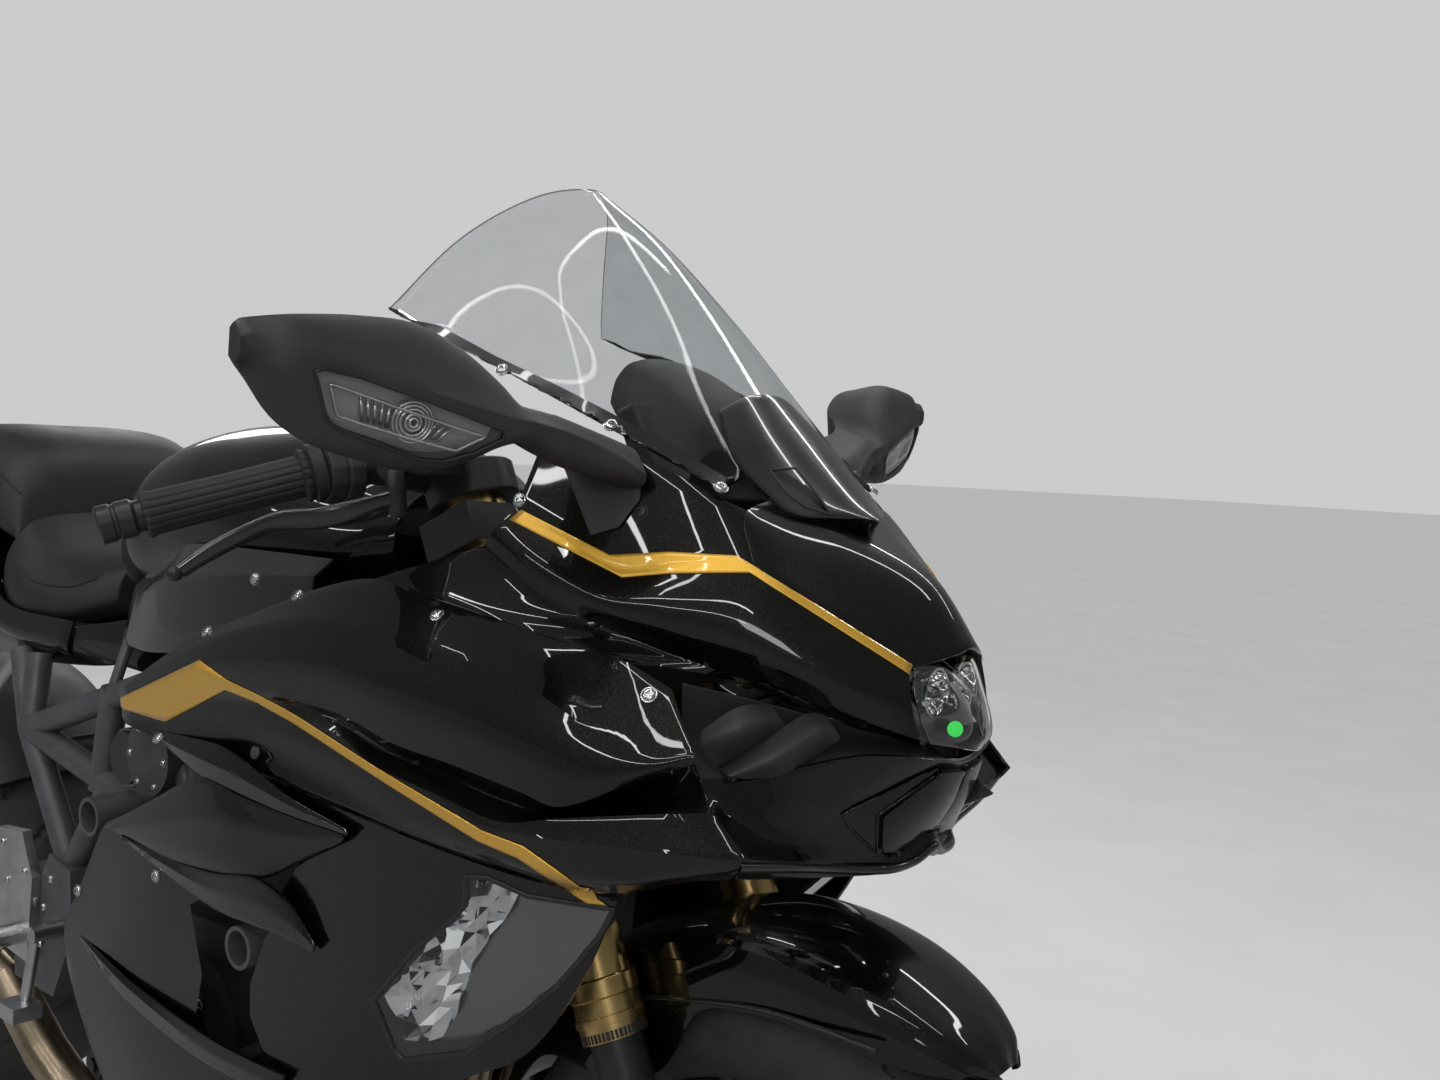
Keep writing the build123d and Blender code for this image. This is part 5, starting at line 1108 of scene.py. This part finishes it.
belong(lofted("tank_skin", section_rings(TANK), "paint", 7, 7, (4, 6), 2.0), nodes="fuel_tank")
belong(lofted("tail_skin", section_rings(TAIL), "paint", 7, 6, (2, 4, 6, 8), 1.5), nodes="tail_cowl")


def seat(name, sections, node):
    """Padded seat with piping along its two upper edges."""
    rings = section_rings(sections)
    pad = lofted(name, rings, "cover", 8, 6, (4, 6), 3.0)
    belong(pad, nodes=node)
    for corner, word in ((2, "right"), (8, "left")):
        path = spline([ring[corner] + (ring[corner] - sum(ring, Vector()) / 10).normalized() * 0.0006
                       for ring in rings[1:-1]], 10)
        belong(bead(name + "_piping_" + word, path, 1.7, "rubber"))


seat("rider_cushion", RIDER_SEAT, "rider_seat")
seat("pillion_cushion", PILLION_SEAT, "pillion_seat")

# Side panels under the seat
SEAT_SIDE = [
    [(-1100, -156, 790), (-1000, -160, 784), (-926, -158, 784), (-850, -150, 796), (-795, -140, 808)],
    [(-1100, -160, 760), (-1000, -163, 758), (-926, -162, 760), (-850, -156, 770), (-795, -148, 782)],
    [(-1090, -150, 733), (-1000, -152, 735), (-926, -152, 740), (-850, -148, 748), (-795, -142, 758)]]
twin(panel("seat_side_right", [dense(SEAT_SIDE, 7, 7)], sideways, 2.5, bevel=0.8))

# Side covers of the tank
SIDE_COVER = [
    [(-762, -126, 880), (-660, -164, 900), (-540, -172, 905), (-430, -160, 905)],
    [(-768, -160, 845), (-665, -184, 862), (-545, -192, 880), (-430, -180, 890)],
    [(-770, -172, 785), (-665, -196, 792), (-545, -200, 812), (-430, -186, 838)]]
twin(panel("tank_cover_skin_right", [dense(SIDE_COVER, 8, 8, (1,))], sideways, 3.0, "gloss", bevel=1.0),
     nodes="tank_covers")
fasten("tank_screws", [(255, 579, ["tank_cover_skin_right"])])

# Front mudguard: degrees round the axle from ahead, radius of the crest, of the shoulder and of the edge,
# and half width
GUARD = [
    (58, 330, 328, 322, 22), (61, 339, 335, 318, 42), (68, 345, 339, 304, 62), (78, 350, 342, 296, 73),
    (90, 352, 344, 290, 76), (101, 352, 344, 282, 78), (112, 348, 340, 236, 78), (126, 344, 336, 238, 78),
    (140, 336, 328, 290, 75), (158, 326, 322, 306, 62)]
guard_rows = []
for degrees, crest, shoulder, edge, half in GUARD:
    c, d = math.cos(math.radians(degrees)), math.sin(math.radians(degrees))
    shape = ((1.0, edge), (1.0, (shoulder + edge) / 2), (0.96, shoulder - 8), (0.80, shoulder),
             (0.40, crest - 1.5), (0, crest))
    guard_rows.append(whole([(r * c, -half * share, AXLE_Z + r * d) for share, r in shape]))
guard = panel("mudguard_skin", [dense(guard_rows, 5, 7, (), (2, 8))], away_from_axle(0, AXLE_Z), 3.0)
belong(guard, "steering", nodes="front_fender")

# Raised fins low on the mudguard's sides: degrees round the axle and radius
FIN = [(118, 300), (104, 291), (90, 296), (78, 305), (70, 316)]
for side, word in BOTH_SIDES:
    path = [at(r * math.cos(math.radians(turn)), side * 77.5, AXLE_Z + r * math.sin(math.radians(turn)))
            for turn, r in FIN]
    belong(bead("mudguard_fin_" + word, spline(path, 8), 2.2, "gloss"), "steering")


# Grips, bar ends, switches, master cylinders and levers on the right side
def spun(name, start, end, profile, material, sides, waves=0, depth=0.0):
    """Round piece on an axis: profile of (share of the length, radius), with a radius that may ripple."""
    side, other = axes_across((end - start).normalized())
    rows = []
    for share, r in profile:
        centre = start + (end - start) * share
        row = []
        for k in range(sides):
            a = math.tau * k / sides
            reach = (r - depth * (0.5 + 0.5 * math.cos(waves * a)) ** 6) / 1000
            row.append(centre + side * (reach * math.cos(a)) + other * (reach * math.sin(a)))
        rows.append(row)
    return solid(40, name, *capped(rows), material)


# Clamps of the bars round the fork legs: height of the lower edge, length in metres, and share of the
# length and radius round the section
CLAMP_Z, CLAMP_HIGH = 962.0, 0.030
CLAMP = [(0, 26.4), (0, 38.5), (0.05, 40.0), (0.95, 40.0), (1, 38.5), (1, 26.4), (0, 26.4)]


def clamp():
    start = at(leg_x(CLAMP_Z), -LEG_Y, CLAMP_Z)
    run = start + STEER_UP * CLAMP_HIGH - start
    axes = axes_across(run.normalized())
    rows = [ring_at(start + run * share, *axes, r, 64) for share, r in CLAMP]
    obj = object_of("bar_clamp_right", *grid_mesh(rows, closed=True), "soft")
    return edges_by_angle(outwards(weld(obj)), 40)


# Levers: the middle line, the widths up and down at its two ends, and the thickness
LEVER = [
    (-288, -203, 966), (-304, -235, 956), (-319, -257, 950), (-334, -282, 947), (-345, -308, 935),
    (-356, -331, 920), (-364, -347, 907)]
LEVER_WIDE, LEVER_END, LEVER_THICK = 11.0, 6.5, 4.6


def lever():
    """Flat bar along the line, wider up and down than across."""
    fine = spline([at(*p) for p in LEVER], 8)
    last = len(fine) - 1
    rows = []
    for i, q in enumerate(fine):
        run = (fine[min(i + 1, last)] - fine[max(i - 1, 0)]).normalized()
        across = run.cross(Vector((0.35, 0, 1)).normalized()).normalized()
        high = across.cross(run).normalized()
        w = LEVER_WIDE + (LEVER_END - LEVER_WIDE) * (i / last)
        rows.append([q + high * (w / 1000 * math.sin(math.tau * k / 16))
                     + across * (LEVER_THICK / 1000 * math.cos(math.tau * k / 16)) for k in range(16)])
    return solid(50, "lever_right", *capped(rows), "gloss")


# Places of the bar and the master cylinder, and profiles of the round pieces: share of the length and
# radius, for the lever's tip radius and height
BAR_ROOT, BAR_BEND = at(-330, -112, 976), at(-338, -190, 987)
GRIP_IN, GRIP_OUT = at(-352, -243, 983), at(-403, -355, 947)
bar_run = (GRIP_OUT - GRIP_IN).normalized()
bend_run = (GRIP_IN - BAR_BEND).normalized()
MASTER_IN, MASTER_OUT = at(-322, -160, 998), at(-300, -206, 992)
GRIP = [
    (0.0, 20.0), (0.02, 21.5), (0.045, 21.5), (0.065, 17.2), (0.5, 16.6), (0.94, 17.2), (0.97, 18.6),
    (0.99, 18.6), (1.0, 17.5)]
BAR_END = [
    (0, 12.5), (0.16, 12.5), (0.24, 15), (0.55, 15), (0.58, 13.8), (0.64, 13.8), (0.67, 15), (0.94, 15),
    (1.0, 12.0)]
SWITCH = [(0, 21), (0.08, 25), (0.44, 25), (0.46, 23.6), (0.52, 23.6), (0.54, 25), (0.92, 25), (1, 21)]
MASTER = [(0, 9), (0.06, 13), (0.3, 13), (0.32, 12), (0.6, 12), (0.62, 13), (0.94, 13), (1, 10)]
FLANGE = [(0, 20), (0.15, 24), (0.85, 24), (1, 20)]
PIVOT = [(0, 5), (0.1, 8), (0.9, 8), (1, 5)]
TIP = [(0.1, -6.5), (3.6, -5.6), (6.0, -3), (6.8, 0), (6.0, 3), (3.6, 5.6), (0.1, 6.5)]
twin(spun("grip_right", GRIP_IN, GRIP_OUT, GRIP, "rubber", 96, 16, 1.1), "steering", "grips")
twin(spun("bar_end_right", GRIP_OUT, GRIP_OUT + bar_run * 0.034, BAR_END, "soft", 48), "steering")
bar_line = spline([BAR_ROOT, BAR_BEND, GRIP_IN, GRIP_OUT - bar_run * 0.004], 6)
twin(bead("bar_right", bar_line, 11.0, "soft", sides=24), "steering", "handlebars")
twin(clamp(), "steering")
switch = spun("switch_right", BAR_BEND + bend_run * 0.014, GRIP_IN - bend_run * 0.008, SWITCH, "matte", 12)
twin(rounded(switch, 2.0, 3, 25), "steering", "bar_controls")
twin(spun("master_right", MASTER_IN, MASTER_OUT, MASTER, "soft", 32), "steering")
arm_line = [at(-325, -168, 984), MASTER_IN, (MASTER_IN + MASTER_OUT) / 2]
twin(bead("master_arm_right", arm_line, 9.0, "soft", sides=16), "steering")
twin(spun("lever_pivot_right", at(-290, -207, 992), at(-288, -204, 952), PIVOT, "soft", 24), "steering")
twin(spun("throttle_flange_right", GRIP_IN - bar_run * 0.012, GRIP_IN + bar_run * 0.001, FLANGE,
          "rubber", 48), "steering")
twin(lever(), "steering", "hand_levers")
twin(turned("lever_tip_right", TIP, at(-365, -350, 906), "soft", 24, "Z"), "steering")

# Reservoirs with their lids: the lowest and highest x and y, the two heights and the round edge
for name, (x0, x1), (y0, y1), z0, z1, finish, edge in (
        ("reservoir_right", (-317, -269), (-191, -147), 987, 1008, "soft", 6),
        ("reservoir_lid_right", (-319, -267), (-193, -145), 1008.5, 1018, "matte", 4)):
    corners = ((x0, y0), (x1, y0), (x1, y1), (x0, y1))
    tub = block([at(x, y, z0) for x, y in corners], [at(x, y, z1) for x, y in corners])
    twin(edges_by_angle(rounded(outwards(object_of(name, *tub, finish)), edge, 4, 30), 40), "steering")

# Rings and seals of the fork
for side, word in BOTH_SIDES:
    for name, low, high, r, finish in (
            ("fork_band", 577, 592, 29.5, "anodised"), ("fork_band_low", 559, 566, 28.8, "anodised"),
            ("fork_seal", 548, 556, 27.5, "rubber")):
        start, end = at(leg_x(low), side * LEG_Y, low), at(leg_x(high), side * LEG_Y, high)
        shape = [(0, r - 2), (0.1, r), (0.9, r), (1, r - 2)]
        belong(spun(name + "_" + word, start, end, shape, finish, 64), "steering")

# Tyres with grooves cut in the tread: half of the section as (y, radius)
FRONT_SECTION = [
    (0, 300), (12, 299.6), (24, 298), (36, 294.5), (46, 289), (53, 281), (57.5, 272), (60, 261), (58, 246),
    (52, 231), (46, 220), (40, 216.5)]
REAR_SECTION = [
    (0, 320), (20, 319.4), (40, 317), (58, 312.5), (74, 305.5), (86, 296), (92.5, 285), (95, 271),
    (92, 252), (86, 238), (79, 224), (70, 216.5)]
GROOVES, GROOVE_DEEP, TYRE_STEPS = 22, 4.0, 540


def tyre(name, centre, section, node, body, tread_half):
    """Tyre with slanting grooves, turned about the axle."""
    half = spline([Vector((0, y, r)) for y, r in section], 3)
    ring = [Vector((0, -v.y, v.z)) for v in half[:0:-1]] + half
    rows = []
    for k in range(TYRE_STEPS):
        a = math.tau * k / TYRE_STEPS
        row = []
        for v in ring:
            away = abs(v.y)
            turn = (k * GROOVES / TYRE_STEPS + away / tread_half * 0.9 + (0.5 if v.y > 0 else 0)) % 1
            grooved = turn < 0.12 and tread_half * 0.16 < away < tread_half * 0.96
            r = v.z - (GROOVE_DEEP if grooved else 0.0)
            row.append(centre + Vector((r * math.cos(a), v.y, r * math.sin(a))) / 1000)
        rows.append(row)
    obj = weld(object_of(name, *grid_mesh(rows + [rows[0]], closed=True), "tyre"))
    belong(edges_by_angle(outwards(obj), 30), body, nodes=node)


tyre("front_tyre_grooved", at(0, 0, AXLE_Z), FRONT_SECTION, "front_tyre", "front_wheel", 50)
tyre("rear_tyre_grooved", at(REAR_X, 0, REAR_Z), REAR_SECTION, "rear_tyre", "rear_wheel", 80)

# Mudguard over the rear tyre: half of the section as (y, radius), every 8 degrees from 38 degrees up
HUGGER = [(-104, 302), (-102.5, 320), (-72, 333), (-36, 338.5), (0, 340.5)]
hugger_rows = []
for k in range(13):
    a = math.radians(38 + 8 * k)
    hugger_rows.append(whole([(REAR_X + r * math.cos(a), y, REAR_Z + r * math.sin(a)) for y, r in HUGGER]))
hugger = panel("hugger_skin", [dense(hugger_rows, 5, 3, (), (1, 7))], away_from_axle(REAR_X, REAR_Z), 3.0,
               "matte", bevel=1.0)
belong(hugger, nodes="rear_hugger")

# Drive chain: links along the loop round the two sprockets
DRIVE_X, DRIVE_Z, CHAIN_Y = -800.0, 405.0, 164.0
FRONT_WRAP, REAR_WRAP, PITCH_LENGTH = 44.0, 100.0, 15.9
LINK_R, LINK_THICK = 6.6, 1.6


def arc(middle, r, start, sweep, count):
    """Places on a circle, from one angle through a sweep."""
    turns = [start + sweep * k / count for k in range(count + 1)]
    return [middle + Vector((math.cos(a), math.sin(a))) * r for a in turns]


def chain_loop():
    """Places of the pins along the loop, in the plane of x and z, in millimetres."""
    front, rear = Vector((DRIVE_X, DRIVE_Z)), Vector((REAR_X, REAR_Z))
    gap = rear - front
    base = math.atan2(gap.y, gap.x)
    lean = math.acos((FRONT_WRAP - REAR_WRAP) / gap.length)
    high, low = base - lean, base + lean
    spots = arc(front, FRONT_WRAP, low, math.tau - (low - high), 40)
    spots += arc(rear, REAR_WRAP, high, low - high, 60)
    spots.append(spots[0].copy())
    lengths = [0.0]
    for a, b in zip(spots, spots[1:]):
        lengths.append(lengths[-1] + (b - a).length)
    count = 2 * round(lengths[-1] / PITCH_LENGTH / 2)
    pins, i = [], 0
    for k in range(count):
        want = lengths[-1] * k / count
        while lengths[i + 1] < want:
            i += 1
        t = (want - lengths[i]) / max(lengths[i + 1] - lengths[i], 1e-9)
        pins.append(spots[i].lerp(spots[i + 1], t))
    return pins


def chain_mesh():
    """Plates of the links, wide and narrow by turns, with a pin and a roller at each joint."""
    pins = chain_loop()
    parts = []
    for k, a in enumerate(pins):
        b = pins[(k + 1) % len(pins)]
        run = (b - a).normalized()
        up = Vector((-run.y, run.x))
        outline = []
        for end, way in ((b, 1), (a, -1)):
            for j in range(7):
                t = -math.pi / 2 + math.pi * j / 6
                outline.append(end + (run * math.cos(t) + up * math.sin(t)) * (LINK_R * way))
        reach = 8.6 if k % 2 else 6.2
        for y0 in (reach - LINK_THICK, -reach):
            low, high = [[at(q.x, CHAIN_Y + y, q.y) for q in outline] for y in (y0, y0 + LINK_THICK)]
            parts.append(block(low, high))
        for half, r, sides in ((8.9, 2.4, 8), (4.5, 5.0, 10)):
            parts.append(tube_mesh([at(a.x, CHAIN_Y - half, a.y), at(a.x, CHAIN_Y + half, a.y)], r, sides))
    return solid(35, "chain_links", *merged(parts), "steel")


belong(chain_mesh(), nodes="drive_chain")

# Bolts on the solids that stay: name, body, node, side (-1 right, 1 left), x, z and radius of the ring, count
# and size
BOLTS = [
    ("clutch_bolts", "chassis", "engine_covers", -1, -650, 405, 70, 9, 4.6),
    ("clutch_inner_bolts", "chassis", "engine_covers", -1, -650, 405, 44, 5, 3.8),
    ("blower_bolts", "chassis", "engine_covers", -1, -655, 690, 31, 6, 3.4),
    ("alternator_bolts", "chassis", "engine_covers", 1, -576, 400, 50, 8, 4.6),
    ("rear_disc_bolts", "rear_wheel", "rear_disc", -1, REAR_X, REAR_Z, 84, 6, 4.6),
    ("sprocket_bolts", "rear_wheel", "rear_axle", 1, REAR_X, REAR_Z, 62, 6, 6.0)]
FOOT_SIDE = ["footrests", "foot_levers", "frame_right"]
for node in FOOT_SIDE + ["engine_covers", "rear_disc", "rear_axle"]:
    surfaces[node] = skin_of(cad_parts[node])
for name, body, node, side, x, z, ring, count, size in BOLTS:
    parts = []
    for a, b in circle(x, z, ring, count):
        where = surfaces[node].ray_cast(at(a, side * 600, b), Vector((0, -side, 0)))[0]
        if where is not None:
            parts.append(screw_mesh(where, Vector((0, side, 0)), size))
    belong(solid(35, name, *merged(parts), "screw"), body)
PLATE_PX = [(4, 841), (8, 879), (25, 871), (51, 879), (44, 907), (41, 943)]
fasten("plate_screws", [(px, py, FOOT_SIDE) for px, py in PLATE_PX], r=4.2)

# Soft edges on the solids that stay
SOFTENED = [
    "engine_block", "engine_covers", "frame_left", "frame_right", "swingarm", "triple_clamps",
    "front_calipers", "rear_caliper", "footrests", "foot_levers", "side_stand", "centre_stand",
    "stand_brackets", "plate_hanger", "grab_rails", "rear_lamps", "front_rim", "rear_rim"]
for node in SOFTENED:
    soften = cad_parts[node].modifiers.new("soft_edges", "BEVEL")
    soften.width = 0.0014
    soften.segments = 2
    soften.limit_method = "ANGLE"
    soften.angle_limit = math.radians(38)

# Lights, floor and background
FLOOR_HALF = 60.0
STRIPS = [(-2.7, 2.0, 9), (-1.9, 2.5, 9), (-1.0, 2.7, 8), (0.0, 2.8, 7), (1.0, 2.7, 7), (1.9, 2.4, 7)]


def lamp(name, where, aim, size_x, size_y, power):
    """Flat light that faces a place."""
    light = bpy.data.lights.new(name, "AREA")
    light.shape = "RECTANGLE"
    light.size = size_x
    light.size_y = size_y
    light.energy = power
    made = bpy.data.objects.new(name, light)
    bpy.context.scene.collection.objects.link(made)
    made.location = where
    made.rotation_euler = (Vector(aim) - Vector(where)).to_track_quat("-Z", "Y").to_euler()


def studio_floor():
    """Pale floor that looks darker in the reflections on the paint."""
    corners = [(x * FLOOR_HALF, y * FLOOR_HALF, 0) for x, y in ((-1, -1), (1, -1), (1, 1), (-1, 1))]
    finish = shade("floor_paint", (0.60, 0.60, 0.59), 1.0, vary=0.02, scale=3, rough_vary=0.0)
    floor = object_of("floor", corners, [(0, 1, 2, 3)], finish, smooth=False)
    tree = finish.node_tree
    surface = tree.nodes["Principled BSDF"]
    surface.inputs["Specular IOR Level"].default_value = 0.0
    path = tree.nodes.new("ShaderNodeLightPath")
    blend = tree.nodes.new("ShaderNodeMix")
    blend.data_type = "RGBA"
    tree.links.new(path.outputs["Is Glossy Ray"], blend.inputs[0])
    tree.links.new(surface.inputs["Base Color"].links[0].from_socket, blend.inputs[6])
    blend.inputs[7].default_value = (0.26, 0.26, 0.26, 1)
    tree.links.new(blend.outputs[2], surface.inputs["Base Color"])


def background():
    """One even light for the pieces, a darker one for their reflections, and a plain grey for the camera."""
    world = bpy.data.worlds.new("world")
    bpy.context.scene.world = world
    world.use_nodes = True
    tree = world.node_tree

    def glow(node, color, strength):
        node.inputs["Color"].default_value = (*color, 1)
        node.inputs["Strength"].default_value = strength
        return node.outputs[0]

    def mixed(factor, first, second):
        node = tree.nodes.new("ShaderNodeMixShader")
        tree.links.new(factor, node.inputs["Fac"])
        tree.links.new(first, node.inputs[1])
        tree.links.new(second, node.inputs[2])
        return node.outputs[0]

    even = glow(tree.nodes["Background"], (0.86, 0.87, 0.88), 0.9)
    dim = glow(tree.nodes.new("ShaderNodeBackground"), (0.20, 0.21, 0.21), 0.7)
    plain = glow(tree.nodes.new("ShaderNodeBackground"), (0.60, 0.60, 0.60), 1.0)
    path = tree.nodes.new("ShaderNodeLightPath")
    either = tree.nodes.new("ShaderNodeMath")
    either.operation = "MAXIMUM"
    tree.links.new(path.outputs["Is Camera Ray"], either.inputs[0])
    tree.links.new(path.outputs["Is Transmission Ray"], either.inputs[1])
    shine = mixed(path.outputs["Is Glossy Ray"], even, dim)
    tree.links.new(mixed(either.outputs[0], shine, plain), tree.nodes["World Output"].inputs["Surface"])


studio_floor()
for k, (y, z, power) in enumerate(STRIPS):
    lamp("strip_%d" % k, (0.3, y, z), (0.2, 0, 0.8), 3.6, 0.05, power)
lamp("key", (2.6, -2.8, 2.0), (0.3, 0, 0.7), 1.2, 0.7, 16)
lamp("back", (-2.8, 1.8, 2.2), (-0.2, 0, 0.7), 1.6, 0.8, 14)
background()
bpy.context.scene.view_settings.view_transform = "Standard"

# Finish of the solids that stay as they are
NODE_FINISH = {
    "matte": ["grab_rails", "plate_hanger", "fairing_stay"],
    "soft": ["triple_clamps", "front_rim", "rear_rim", "fork_lower_legs", "side_stand",
             "centre_stand", "stand_brackets", "seat_rails"],
    "frame": ["frame_left", "frame_right", "frame_sliders", "steering_head", "swingarm"],
    "cast": ["engine_block", "engine_covers", "radiator", "front_calipers", "rear_caliper"],
    "alloy": ["foot_levers", "footrests", "silencer"],
    "steel": ["front_discs", "rear_axle", "rear_disc", "rear_shock"],
    "pipe": ["exhaust_pipes"],
    "anodised": ["fork_outer_tubes"],
    "red_lens": ["rear_lamps"],
}
for finish, nodes in NODE_FINISH.items():
    for node in nodes:
        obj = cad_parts[node]
        obj.data.materials.clear()
        obj.data.materials.append(M[finish])
